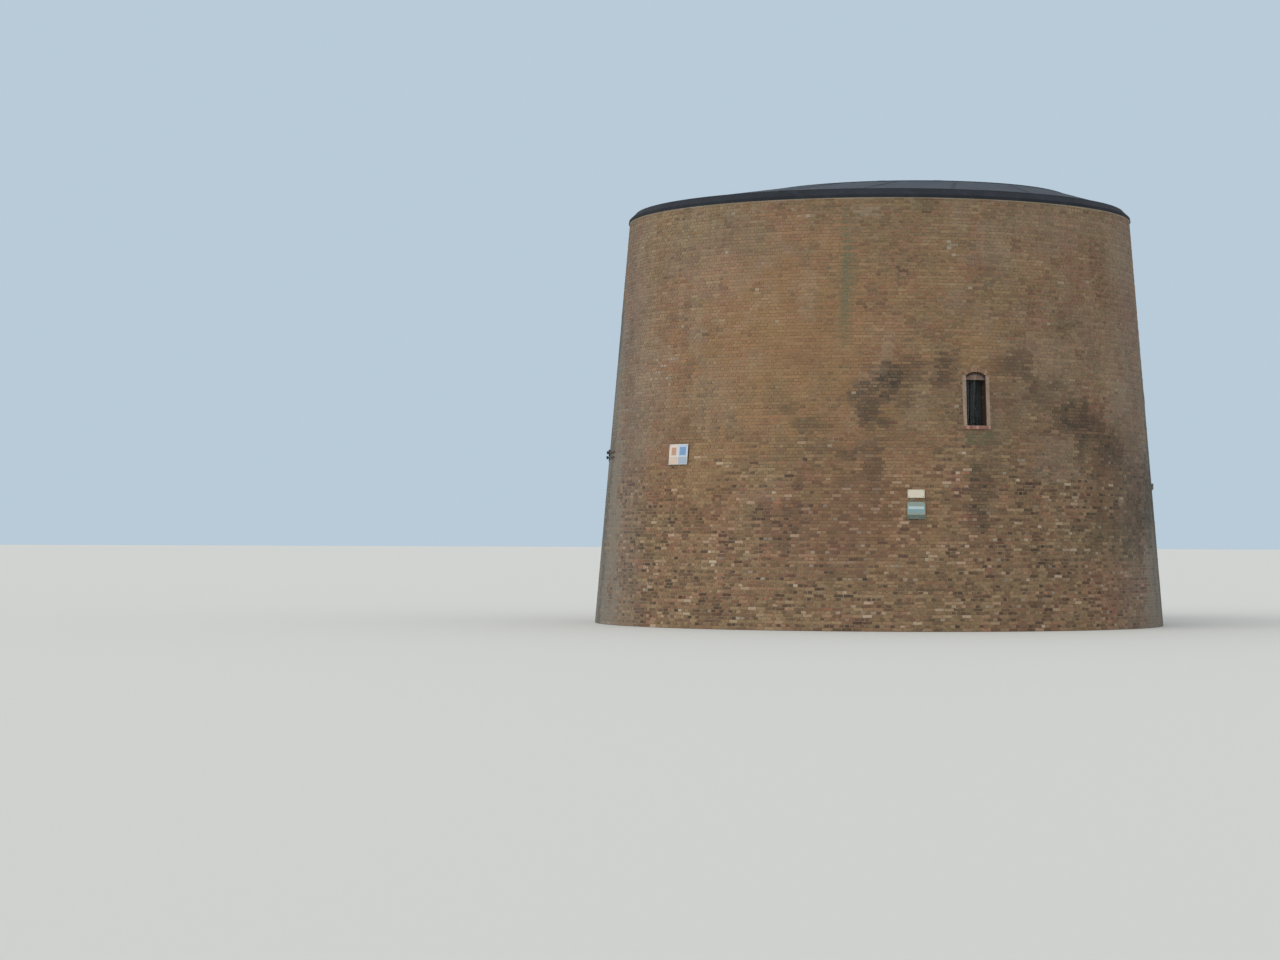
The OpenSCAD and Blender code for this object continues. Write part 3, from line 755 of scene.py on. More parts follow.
def wall_core():
    """The wall behind its face: stock brick in the reveals of its openings, painted dark brown as
    the shade in those recesses, and limewashed brick in the room. The change from one to the other
    is at the window frames."""
    material, place = blank("stock_brick_and_limewash")
    inputs = {0: from_axis(material, place), 1: FRAME_BACK_R - 0.02}
    reveal_shade_mask = add(material, "Math", inputs, operation="GREATER_THAN")[0]
    along, far, height = room_round(material, place)
    along = add(material, "Math", {0: along, 1: far}, operation="ADD")[0]
    flat = add(material, "CombineXYZ", {0: along, 1: height})[0]
    tone, joint, patchy = rows_of(material, place, flat, JOINT / 2, STRETCHER, COURSE, BLOTCH)
    # Painted shade: these dark browns in the reveals stand for the shade in those recesses
    browns = [(0.2, "#352c22"), (0.5, "#4a3d2f"), (0.8, "#62523f")]
    brown = coloured(material, tone, patchy, 0.5, browns, joint, "#584e40")
    white = limewash(material, place, tone, joint, patchy)
    colour = add(material, "Mix", {0: reveal_shade_mask, 6: white, 7: brown}, **COLOURS)[2]
    relief = add(material, "Math", {0: patchy, 1: joint}, operation="SUBTRACT")[0]
    return finished(material, colour, 0.93, relief, 0.004, Specular_IOR_Level=0.2)


def limewashed_vault():
    """Limewashed brick of the pier and the vault: level courses up the pier to the vault's
    springing, and from there rings of courses over the vault."""
    material, place = blank("limewashed_brick")
    along, far, height = room_round(material, place)
    below = add(material, "Math", {0: height, 1: VAULT_SPRING_Z}, operation="MINIMUM")[0]
    up = add(material, "Math", {0: far, 1: below}, operation="ADD")[0]
    flat = add(material, "CombineXYZ", {0: along, 1: up})[0]
    tone, joint, patchy = rows_of(material, place, flat, JOINT / 2, STRETCHER, COURSE, BLOTCH)
    relief = add(material, "Math", {0: patchy, 1: joint}, operation="SUBTRACT")[0]
    colour = limewash(material, place, tone, joint, patchy)
    return finished(material, colour, 0.93, relief, 0.004, Specular_IOR_Level=0.2)


def paving_brick():
    """Brick paving: hard paviours laid flat on sand, walked smooth, with dirt packed in the
    joints."""
    material, place = blank("brick_paving")
    tone, joint, patchy = rows_of(material, place, place, 0.004, STRETCHER, 0.115, 0.09)
    browns = [(0.2, "#4b3c35"), (0.5, "#6c5348"), (0.8, "#846a5c")]
    colour = coloured(material, tone, patchy, 0.5, browns, joint, "#3d372f")
    relief = add(material, "Math", {0: 1.0, 1: joint}, operation="SUBTRACT")[0]
    return finished(material, colour, 0.8, relief, 0.003)


def flagstones():
    """York flagstones: split sandstone in slabs of 0.9 by 0.6 m, grey-buff, with ripples from the
    split and worn edges."""
    material, place = blank("flagstones")
    tone, joint, patchy = rows_of(material, place, place, 0.005, 0.9, 0.6, 0.15, 6.0)
    greys = [(0.2, "#66604f"), (0.5, "#827b69"), (0.8, "#999280")]
    colour = coloured(material, tone, patchy, 0.6, greys, joint, "#4c473d")
    relief = add(material, "Math", {0: patchy, 1: joint}, operation="SUBTRACT")[0]
    return finished(material, colour, 0.85, relief, 0.004)


def in_strips(material, counted, edge):
    """Strips one unit wide: a tone for each, and the gap between them, a share edge of a strip on
    each side."""
    number = add(material, "Math", {0: counted}, operation="FLOOR")[0]
    tone = add(material, "TexWhiteNoise", {"W": number}, noise_dimensions="1D")[0]
    folded = add(material, "Math", {0: counted, 1: 0.5}, operation="PINGPONG")[0]
    return tone, add(material, "Math", {0: folded, 1: edge}, operation="LESS_THAN")[0]


def oak_boards():
    """Oak floor boards: sawn, never painted, gone grey-brown. Long grain runs along them, and they
    differ in tone from one to the next with a dark gap between."""
    material, place = blank("oak_boards")
    drawn = add(material, "Mapping", {"Vector": place, "Scale": (1.0, 0.04, 1.0)})[0]
    figure = add(material, "TexNoise", {"Vector": drawn, "Scale": 1 / 0.004, "Detail": 4.0})[0]
    across = add(material, "SeparateXYZ", {0: place})["X"]
    counted = add(material, "Math", {0: across, 1: BOARD_W}, operation="DIVIDE")[0]
    tone, gap = in_strips(material, counted, 0.012)
    browns = [(0.15, "#3f3125"), (0.5, "#66503c"), (0.85, "#806a52")]
    colour = coloured(material, tone, figure, 0.55, browns, gap, "#17120d")
    relief = add(material, "Math", {0: figure, 1: gap}, operation="SUBTRACT")[0]
    return finished(material, colour, 0.7, relief, 0.002)


def oak_joists():
    """Oak joists: sawn baulks, darker than the boards over them. They run like spokes, so their
    figure is drawn as even flecks that suit every direction."""
    material, place = blank("oak_joists")
    figure = add(material, "TexNoise", {"Vector": place, "Scale": 1 / 0.010, "Detail": 4.0})[0]
    colour = add(material, "ValToRGB", {0: figure}, [(0.2, "#3a2c20"), (0.8, "#6a5440")])[0]
    return finished(material, colour, 0.75, figure, 0.001)


def sill_brick():
    """Red sill bricks: pressed bricks set on edge across the sill, pinkish red, rubbed pale along
    their upper edge by rain. The same bricks close the head of the arch, where they are duller as
    painted shade under the arch, and darker still as a painted shadow within 80 mm of the arch's
    circle."""
    material, place = blank("sill_brick")
    x, y, z = add(material, "SeparateXYZ", {0: place})
    turn = add(material, "Math", {0: y, 1: x}, operation="ARCTAN2")[0]
    inputs = {0: turn, 1: wall_r(SILL_Z) / BRICK_T}
    counted = add(material, "Math", inputs, operation="MULTIPLY")[0]
    tone, gap = in_strips(material, counted, 0.06)
    patchy = add(material, "TexNoise", {"Vector": place, "Scale": 1 / 0.025, "Detail": 4.0})[0]
    mixed = add(material, "Mix", {0: 0.5, 6: tone, 7: patchy}, **COLOURS)[2]
    colour = add(material, "ValToRGB", {0: mixed}, [
        (0.2, "#784f46"), (0.5, "#996c60"), (0.8, "#b18575"),
    ])[0]
    # The top 16 mm of the sill are rubbed
    edge = add(material, "Math", {0: z, 1: 60.0, 2: -60.0 * (SILL_Z - 0.016)}, **KEPT)[0]
    rubbed = add(material, "Math", {0: edge, 1: 0.6}, operation="MULTIPLY")[0]
    colour = add(material, "Mix", {0: rubbed, 6: colour, 7: linear("#b5a48f")}, **COLOURS)[2]
    # Both windows are alike, so y without its sign gives the distance across either of them. A
    # painted shadow under the arch grows from 80 mm inside the arch's circle
    radius, centre, _ = arch_of(WINDOWS[1])
    folded = add(material, "Math", {0: y}, operation="ABSOLUTE")[0]
    plan = add(material, "CombineXYZ", {0: x, 1: folded})[0]
    inputs = {0: plan, 1: tuple(facing(WINDOW_ANGLE)[1])}
    across = add(material, "VectorMath", inputs, operation="DOT_PRODUCT")["Value"]
    above = add(material, "Math", {0: z, 1: centre}, operation="SUBTRACT")[0]
    spoke = add(material, "CombineXYZ", {0: across, 1: above})[0]
    reach = add(material, "VectorMath", {0: spoke}, operation="LENGTH")["Value"]
    soot_and_shade = add(material, "Math", {0: reach, 1: 28.0, 2: -28.0 * (radius - 0.080)}, **KEPT)[0]
    # Painted shade under the arch: the head's duller browns, and the dark line near its circle
    shaded_colour = add(material, "ValToRGB", {0: mixed}, [(0.2, "#6a564a"), (0.8, "#8a7264")])[0]
    shaded_colour = add(material, "Mix", {0: soot_and_shade, 6: shaded_colour, 7: linear("#332b25")}, **COLOURS)[2]
    at_arch_head = add(material, "Math", {0: z, 1: SILL_Z + 0.5}, operation="GREATER_THAN")[0]
    colour = add(material, "Mix", {0: at_arch_head, 6: colour, 7: shaded_colour}, **COLOURS)[2]
    jointed = add(material, "Math", {0: gap, 1: 0.7}, operation="MULTIPLY")[0]
    colour = add(material, "Mix", {0: jointed, 6: colour, 7: linear("#6c6150")}, **COLOURS)[2]
    relief = add(material, "Math", {0: patchy, 1: gap}, operation="SUBTRACT")[0]
    return finished(material, colour, 0.85, relief, 0.002)


def threshold_stone():
    """Threshold stone: hard York sandstone, sawn with a fine grit and trodden smooth, grey in soft
    clouds."""
    material, place = blank("threshold_stone")
    patchy = add(material, "TexNoise", {"Vector": place, "Scale": 1 / 0.10, "Detail": 5.0})[0]
    grit = add(material, "TexNoise", {"Vector": place, "Scale": 1 / GRIT})[0]
    colour = add(material, "ValToRGB", {0: patchy}, [
        (0.3, "#615b50"), (0.5, "#7b7467"), (0.7, "#948d7f"),
    ])[0]
    return finished(material, colour, 0.88, grit, 0.001, Specular_IOR_Level=0.3)


def strip_stone():
    """Strips beside the windows: buff sandstone, sawn and rubbed, pinkish grey where rain washes
    its face, and painted dark from about 15 mm behind the wall's face as the shade in the reveal."""
    material, place = blank("strip_stone")
    drawn = add(material, "Mapping", {"Vector": place, "Scale": RUN_OFF})[0]
    patchy = add(material, "TexNoise", {"Vector": place, "Scale": 1 / 0.04, "Detail": 5.0})[0]
    runs = add(material, "TexNoise", {"Vector": drawn, "Scale": 1 / 0.05, "Detail": 3.0})[0]
    grit = add(material, "TexNoise", {"Vector": place, "Scale": 1 / GRIT})[0]
    mixed = add(material, "Mix", {0: 0.6, 6: runs, 7: patchy}, **COLOURS)[2]
    clean = add(material, "ValToRGB", {0: mixed}, [
        (0.3, "#7d6a5a"), (0.5, "#937d6a"), (0.7, "#aa9684"),
    ])[0]
    # Painted shade: the strips' faces inside the reveal are dark
    shaded_colour = add(material, "ValToRGB", {0: mixed}, [(0.3, "#2e2720"), (0.7, "#40372c")])[0]
    height = add(material, "SeparateXYZ", {0: place})["Z"]
    inputs = {0: height, 1: BATTER, 2: from_axis(material, place)}
    ahead = add(material, "Math", inputs, operation="MULTIPLY_ADD")[0]
    inner = add(material, "Math", {0: ahead, 1: -80.0, 2: 80.0 * (BASE_R - 0.010)}, **KEPT)[0]
    colour = add(material, "Mix", {0: inner, 6: clean, 7: shaded_colour}, **COLOURS)[2]
    return finished(material, colour, 0.88, grit, 0.001, Specular_IOR_Level=0.3)


def old_paint(name, coat_dark, coat_pale):
    """Painted softwood out in the salt wind: the coat has dulled and split along the grain, which
    shows as fine upright lines of grey wood. Pieces of it made of several boards carry a number for
    each, which turns some of them greyer than the rest."""
    material, place = blank(name)
    board = add(material, "Attribute", {}, attribute_name="board")["Fac"]
    drawn = add(material, "Mapping", {"Vector": place, "Scale": (1.0, 1.0, 0.05)})[0]
    inputs = {"Vector": drawn, "Scale": 1 / TIMBER_GRAIN, "Detail": 4.0}
    figure = add(material, "TexNoise", inputs)[0]
    clouds = add(material, "TexNoise", {"Vector": place, "Scale": 1 / 0.12, "Detail": 4.0})[0]
    split = add(material, "Math", {0: figure, 1: clouds}, operation="MULTIPLY")[0]
    worn = add(material, "Math", {0: split, 1: 7.0, 2: -2.4}, **KEPT)[0]
    colour = add(material, "ValToRGB", {0: clouds}, [(0.25, coat_dark), (0.75, coat_pale)])[0]
    number = add(material, "Math", {0: board, 1: 37.0}, operation="MULTIPLY")[0]
    greyed = add(material, "TexWhiteNoise", {"W": number}, noise_dimensions="1D")[0]
    greyed = add(material, "Math", {0: greyed, 1: 0.35}, operation="MULTIPLY")[0]
    share = add(material, "Math", {0: worn, 1: greyed}, operation="MAXIMUM")[0]
    colour = add(material, "Mix", {0: share, 6: colour, 7: linear("#5a564e")}, **COLOURS)[2]
    return finished(material, colour, 0.7, figure, 0.001)


def roofing(name, dark, pale, dust, rough):
    """Roofing sheet: bitumen felt rolled out and torched down, matt with mineral grit, greyer where
    dust and salt dry on it in clouds."""
    material, place = blank(name)
    inputs = {"Vector": place, "Scale": 1 / 0.9, "Detail": 6.0, "Roughness": 0.6}
    clouds = add(material, "TexNoise", inputs)[0]
    dusty = add(material, "TexNoise", {"Vector": place, "Scale": 1 / 0.25, **MOTTLED})[0]
    grit = add(material, "TexNoise", {"Vector": place, "Scale": 1 / FELT_GRIT})[0]
    colour = add(material, "ValToRGB", {0: clouds}, [(0.25, dark), (0.75, pale)])[0]
    settled = add(material, "Math", {0: dusty, 1: 1.5, 2: -0.78}, **KEPT)[0]
    colour = add(material, "Mix", {0: settled, 6: colour, 7: linear(dust)}, **COLOURS)[2]
    colour = gritted(material, colour, grit, 0.25, "#c4c4c4")
    return finished(material, colour, rough, grit, 0.001, Specular_IOR_Level=0.15)


def wrought_iron():
    """Wrought iron: forged bars under old black paint, which has blistered to brown rust in patches
    of 20 mm."""
    material, place = blank("wrought_iron")
    blisters = add(material, "TexNoise", {"Vector": place, "Scale": 1 / 0.02, **MOTTLED})[0]
    colour = add(material, "ValToRGB", {0: blisters}, [
        (0.35, "#26241f"), (0.55, "#3a3129"), (0.7, "#5e4030"),
    ])[0]
    return finished(material, colour, 0.75, blisters, 0.001)


def window_glass():
    """Window glass: drawn sheet, thin and clear with a grey-green tint, dulled by salt."""
    material, place = blank("window_glass")
    salt = add(material, "TexNoise", {"Vector": place, "Scale": 1 / 0.12, "Detail": 4.0})[0]
    haze = add(material, "ValToRGB", {0: salt}, [(0.3, "#6c8386"), (0.8, "#9aaeb1")])[0]
    return finished(material, haze, 0.12, salt, 0.0001, Transmission_Weight=0.78, IOR=1.5)


def sign_paint():
    """Sign sheet: aluminium with a stoved enamel coat in flat colours, chalky from sun and salt."""
    material, place = blank("sign_sheet")
    paint = add(material, "Attribute", {}, attribute_name="paint")["Color"]
    clouds = add(material, "TexNoise", {"Vector": place, "Scale": 1 / 0.05, **MOTTLED})[0]
    chalk = add(material, "Math", {0: clouds, 1: 1.0, 2: -0.5}, **KEPT)[0]
    colour = add(material, "Mix", {0: chalk, 6: paint, 7: linear("#bdbdb4")}, **COLOURS)[2]
    return finished(material, colour, 0.45, clouds, 0.0002)


def floor_paint():
    """Floor of the scene: flat pale grey paint, brushed and quite matt."""
    material, place = blank("pale_floor")
    brushed = add(material, "TexNoise", {"Vector": place, "Scale": 1 / 0.5})[0]
    return finished(material, linear("#c9c8c2"), 0.9, brushed, 0.0001)


def bricks_round():
    """Angles, widths and heights of every brick, in English bond: a course of stretchers has the
    whole number of bricks that fits its circle, the course above it twice as many headers, set a
    quarter of a brick along, and the joints of all courses with the same number line up. Each brick
    strays a little from its place."""
    rng = np.random.default_rng(5)
    course = np.arange(COURSES)
    round_wall = 2 * math.pi * wall_r((course + 0.5) * COURSE)
    number = np.round(round_wall / STRETCHER).astype(int)
    headers = course % 2 == 1
    counts = np.where(headers, 2 * number, number)
    row = np.repeat(course, counts)
    place = np.arange(len(row)) - np.repeat(np.cumsum(counts) - counts, counts)
    number, headers = number[row], headers[row]
    shift = number * 0.618 % 1
    start = (np.where(headers, place / 2 + 0.25, place) + shift) / number
    step = np.where(headers, 0.5, 1.0) / number
    low = row * COURSE + JOINT / 2 + rng.normal(0, 0.0010, len(row))
    high = (row + 1) * COURSE - JOINT / 2 + rng.normal(0, 0.0010, len(row))
    radius = wall_r((row + 0.5) * COURSE)
    left = 2 * math.pi * start + (JOINT / 2 + rng.normal(0, 0.002, len(row))) / radius
    right = 2 * math.pi * (start + step) - (JOINT / 2 + rng.normal(0, 0.002, len(row))) / radius
    return left, right, low, high, headers


def arch_of(opening, extra=0.0):
    """Radius, centre height and half angle of an opening's arch: the circle through both springings
    and the crown has radius (half width squared plus rise squared) over twice the rise."""
    rise = opening.crown - opening.spring
    radius = (opening.half ** 2 + rise ** 2) / (2 * rise)
    return radius + extra, opening.crown - radius, math.asin(opening.half / radius)


def clear_half(opening, z):
    """Half the width that an opening, its sill, strips and arch take from the bricks at height z,
    or 0."""
    back, centre, lean = arch_of(opening, opening.rings * RING_H + JOINT)
    skew_top = centre + back * math.cos(lean)
    beside = opening.half + opening.strip + JOINT / 2
    tops = [opening.foot - opening.sill_t, opening.foot, opening.spring, skew_top, centre + back]
    halves = [
        0.0 * z, opening.sill_half + JOINT / 2 + 0 * z, beside + 0 * z,
        opening.half + JOINT + (z - opening.spring) * math.tan(lean),
        np.sqrt(np.maximum(back ** 2 - (z - centre) ** 2, 0)),
    ]
    return np.select([z < top for top in tops], halves, 0.0)


def cut_at_openings(left, right, low, high):
    """Trims the bricks beside each opening and drops those inside it and the scraps too narrow to
    lay. Returns the new angles and which bricks are kept."""
    middle = (low + high) / 2
    radius = wall_r(middle)
    kept = np.ones(len(left), bool)
    for opening in OPENINGS:
        half = clear_half(opening, middle) / radius
        turn = 2 * math.pi * np.round((left - math.radians(opening.angle)) / (2 * math.pi))
        centre = math.radians(opening.angle) + turn
        met = (half > 0) & (right > centre - half) & (left < centre + half)
        over_left = met & (left < centre - half)
        over_right = met & (right > centre + half)
        kept &= ~(met & ~over_left & ~over_right)
        right = np.where(over_left, centre - half, right)
        left = np.where(over_right & ~over_left, centre + half, left)
    kept &= (right - left) * radius > SCRAP
    return left, right, kept


def rolled_out(points, at):
    """Places of points on a piece's map, whose middle is the angle at: across it by their angle,
    and up it by their height."""
    angle = np.degrees(np.arctan2(points[..., 1], points[..., 0]))
    across = FRONT_SHARE * (degrees_past(at, angle) / MAP_DEGREES + 0.5)
    return np.stack([across, points[..., 2] / WALL_H], axis=-1)


def hidden_strip(count):
    """Corners of hidden faces on a piece's map, one over the other in a strip at its right edge."""
    size = np.array([0.8 * (1 - FRONT_SHARE), 0.5 / count])
    low = np.stack([np.full(count, FRONT_SHARE + 0.001), np.arange(count) / count], axis=1)
    return low[:, None] + SQUARE * size


def unrolled(blocks, at):
    """Map of blocks on the wall, each front drawn smaller than its block so that its sides get room
    round it. Backs go in the strip."""
    flat = rolled_out(blocks, at)
    middle = flat.mean(axis=1, keepdims=True)
    flat[:, 4:] = middle + (flat[:, 4:] - middle) * 0.8
    uv = flat[:, BLOCK_FACES]
    uv[:, 1] = hidden_strip(len(blocks))
    return uv.reshape(-1, 2)


def flat_map(points, faces, at, is_behind):
    """Map of a shell on the wall: its front, and in the strip every face with a point behind."""
    hidden = is_behind[faces].any(axis=1)
    uv = np.where(hidden[:, None, None], hidden_strip(len(faces)), rolled_out(points, at)[faces])
    return uv.reshape(-1, 2)


def brickwork(material, mortar):
    """Every brick of the wall's face as a block of eight points, its front a little smaller than
    its back, in eight pieces, over the mortar. Low on the wall some bricks have lost their
    faces, and their sunk fronts are painted dark as the shade in the holes."""
    left, right, low, high, headers = bricks_round()
    left, right, kept = cut_at_openings(left, right, low, high)
    left, right, low, high, headers = (a[kept] for a in (left, right, low, high, headers))
    count = len(left)
    rng = np.random.default_rng(9)
    middle = (low + high) / 2
    centre = around((left + right) / 2, wall_r(middle), middle)
    grime, wash = weathering(centre + rng.normal(0, 0.05, centre.shape))
    worn = smooth((WORN_Z - middle + 0.35 * ripple(centre, 1.2, 41)) / 0.9)
    decay = smooth(0.75 * ripple(centre, 0.9, 43) - 0.1)

    # Tones and hues stray from brick to brick, most where the faces are worn. Some low headers have
    # lost their faces and are painted dark as the shade in their holes, and others are pale with
    # crust
    tone = 0.50 + rng.normal(0, 0.08, count) + 0.05 * ripple(centre, 1.4, 45) - 0.04 * headers
    spread = worn * rng.normal(0, 0.15, count) * (1 + 1.2 * wash[:, 1])
    tone = np.maximum(tone + spread, 0.12)
    hue = np.clip(0.25 + rng.normal(0, 0.25, count) + 0.15 * ripple(centre, 1.0, 47), 0, 1)
    sunk_and_shaded = headers & (rng.random(count) < worn * (0.01 + 0.07 * decay))
    crust = headers & (rng.random(count) < 0.003 + 0.03 * worn * (1 - decay))
    # Painted shade: the sunk headers take a dark tone for the shade in their holes
    tone = np.where(sunk_and_shaded, rng.uniform(0.02, 0.30, count), tone)
    crust |= headers & (rng.random(count) < 0.35 * in_patches(centre, SPECKS, 0.3, 49))
    grime[:, 2] = np.where(crust & ~sunk_and_shaded, rng.uniform(0.35, 0.9, count), grime[:, 2])
    grime[:, 0] = np.clip(grime[:, 0] * rng.uniform(0.55, 1.15, count), 0, 1)

    # Bricks stand a little in or out and askew. Lost faces lie just over the mortar, and render
    # hides relief
    out = BRICK_OUT + rng.normal(0, 0.0015, (count, 1)) + rng.normal(0, 0.0012, (count, 4))
    out = np.where(sunk_and_shaded[:, None], MORTAR_OUT + 0.001, out)
    out = out + (MORTAR_OUT + 0.002 - out) * 0.75 * wash[:, :1]
    angle = np.stack([left, right, right, left], axis=1)
    z = np.stack([low, low, high, high], axis=1)
    inward = ARRIS * np.array([1, -1, -1, 1])
    upward = ARRIS * np.array([1, 1, -1, -1])
    back = around(angle, wall_r(z) - BRICK_IN, z)
    front = around(angle + inward / wall_r(z), wall_r(z + upward) + out, z + upward)
    points = np.concatenate([back, front], axis=1)

    degrees = np.degrees((left + right) / 2)
    every = {"tone": tone, "hue": hue, "grime": grime, "wash": wash}
    for name, at in SECTORS.items():
        chosen = np.abs(degrees_past(at, degrees)) <= HALF_SECTOR
        blocks = points[chosen]
        here = blocks.reshape(-1, 3)
        layers = {k: np.repeat(v[chosen], 8, axis=0) for k, v in every.items()}
        moss = layers["grime"][:, 1]
        layers["grime"][:, 1] = np.maximum(moss, in_patches(here, RUNS, 0.04, 18))
        faces = [block_faces(len(blocks))]
        piece(f"bricks_{name}", here, faces, material, layers, unrolled(blocks, at))
    lay_mortar(mortar)


def with_levels(levels, needed, apart):
    """Sorted levels with the needed ones put in, and any other nearer to them than apart left
    out."""
    needed = np.array(needed)
    free = [v for v in levels if np.abs(needed - v).min() > apart]
    return np.sort(np.concatenate([free, needed]))


def lay_mortar(material):
    """Skin of mortar over the wall, just behind the bricks' faces: a thin closed shell over a grid
    in angle and height, in eight pieces, with lines of the grid along each opening's edges."""
    # Both windows have the same heights
    edges_z = [MORTAR_OUT, WALL_H - 0.002]
    for opening in (WINDOWS[0], DOORWAY):
        edges_z += [opening.foot - opening.sill_t / 2, opening.spring, opening.crown]
    z = with_levels(np.linspace(0, WALL_H, MORTAR_ROWS), edges_z, 0.05)
    for name, at in SECTORS.items():
        edges = [at - HALF_SECTOR, at + HALF_SECTOR]
        for opening in OPENINGS:
            if abs(opening.angle - at) < HALF_SECTOR:
                radius = wall_r(opening.foot + 0.5)
                edges += [
                    opening.angle + side * math.degrees(math.asin(half / radius))
                    for side in (-1, 1)
                    for half in sorted({opening.half, opening.half + opening.strip})
                ]
        edges = [e for e in edges if abs(e - at) <= HALF_SECTOR + 0.01]
        even = np.linspace(at - HALF_SECTOR, at + HALF_SECTOR, MORTAR_COLUMNS)
        angles = np.radians(with_levels(even, edges, 0.45))
        kept = np.ones((len(z) - 1, len(angles) - 1), bool)
        z_mid = (z[:-1] + z[1:])[:, None] / 2
        a_mid = (angles[:-1] + angles[1:])[None] / 2
        for opening in OPENINGS:
            past = a_mid - math.radians(opening.angle)
            across = np.abs((past + math.pi) % (2 * math.pi) - math.pi) * wall_r(z_mid)
            strip = np.where(z_mid < opening.spring, opening.strip, 0.0)
            tall = (z_mid > opening.foot - opening.sill_t / 2) & (z_mid < opening.crown)
            kept &= ~(tall & (across < opening.half + strip))
        front, behind = (
            around(angles[None], wall_r(z)[:, None] + out, z[:, None]).reshape(-1, 3)
            for out in (MORTAR_OUT, MORTAR_BACK)
        )
        points = np.concatenate([front, behind])
        used, faces = np.unique(shell_faces(kept), return_inverse=True)
        points, faces = points[used], faces.reshape(-1, 4)
        grime, wash = weathering(points)
        uv = flat_map(points, faces, at, used >= len(front))
        layers = {"grime": grime, "wash": wash}
        piece(f"mortar_{name}", points, [faces], material, layers, uv)


def arch_rings(material):
    """Rings of wedge bricks over each opening: block i of a ring lies between two radii of the
    arch's circle, so its corners are at radius times sine across and centre plus radius times
    cosine up."""
    rng = np.random.default_rng(13)
    for opening in OPENINGS:
        radius, centre, lean = arch_of(opening)
        points, tones, hues = [], [], []
        for order in range(opening.rings):
            inner = radius + order * RING_H
            outer = inner + RING_H - JOINT / 2
            number = max(5, round(2 * lean * inner / WEDGE_W))
            edges = np.linspace(-lean, lean, number + 1)
            gap = JOINT / 3 / inner
            left, right = edges[:-1] + gap, edges[1:] - gap
            turn = np.stack([left, right, right, left], axis=1)
            reach = np.array([inner, inner, outer, outer])
            across, z = reach * np.sin(turn), centre + reach * np.cos(turn)
            out = RING_OUT - 0.002 * order + rng.normal(0, 0.001, (number, 1))
            points.append(wall_blocks(opening.angle, across, z, -RING_IN, out))
            tones.append(np.repeat(0.44 + 0.08 * order + rng.normal(0, 0.15, number), 8))
            hues.append(np.full(8 * number, 0.45 + 0.35 * order))
        blocks = np.concatenate(points)
        faces = [block_faces(len(blocks))]
        layers = {"tone": np.concatenate(tones), "hue": np.concatenate(hues)}
        name = f"arch_{opening.name}"
        piece(name, blocks.reshape(-1, 3), faces, material, layers)


def window_bars(iron, glass):
    """Three upright iron bars in each window, which end inside the sill and the arch, and a pane of
    glass in each of its two lights, with its edges in the frame."""
    into, rebate = 0.03, 0.006
    for opening in WINDOWS:
        outward, across = facing(opening.angle)
        middle = (wall_r(opening.foot) - BAR_BEHIND) * outward
        radius, centre, _ = arch_of(opening)
        places = opening.half * np.array([-0.5, 0.0, 0.5])
        tops = centre + np.sqrt(radius ** 2 - places ** 2) + into
        foot = middle + places[:, None] * across + (opening.foot - into) * UP
        head = foot + (tops - opening.foot + into)[:, None] * UP
        bars = np.stack([foot, head], axis=1)
        points, faces = carried(bars, across, -outward, circle(BAR_D / 2, 16))
        piece(f"bars_{opening.name}", points, faces, iron, rounded=True)

        light = (opening.half * 2 - 3 * FRAME_W) / 2
        centres = np.array([-1, 1]) * (light + FRAME_W) / 2
        s = centres[:, None] + (light / 2 + rebate) * np.array([-1, 1, 1, -1])
        z = np.repeat([opening.foot + FRAME_W - rebate, PANE_TOP + rebate], 2)
        flat = s[..., None] * across + z[:, None] * UP
        frame_r = (FRAME_BACK_R + FRAME_FACE_R) / 2
        sides = [flat + (frame_r + side * PANE_T / 2) * outward for side in (-1, 1)]
        points = np.concatenate(sides, axis=1).reshape(-1, 3)
        piece(f"panes_{opening.name}", points, [block_faces(2)], glass)


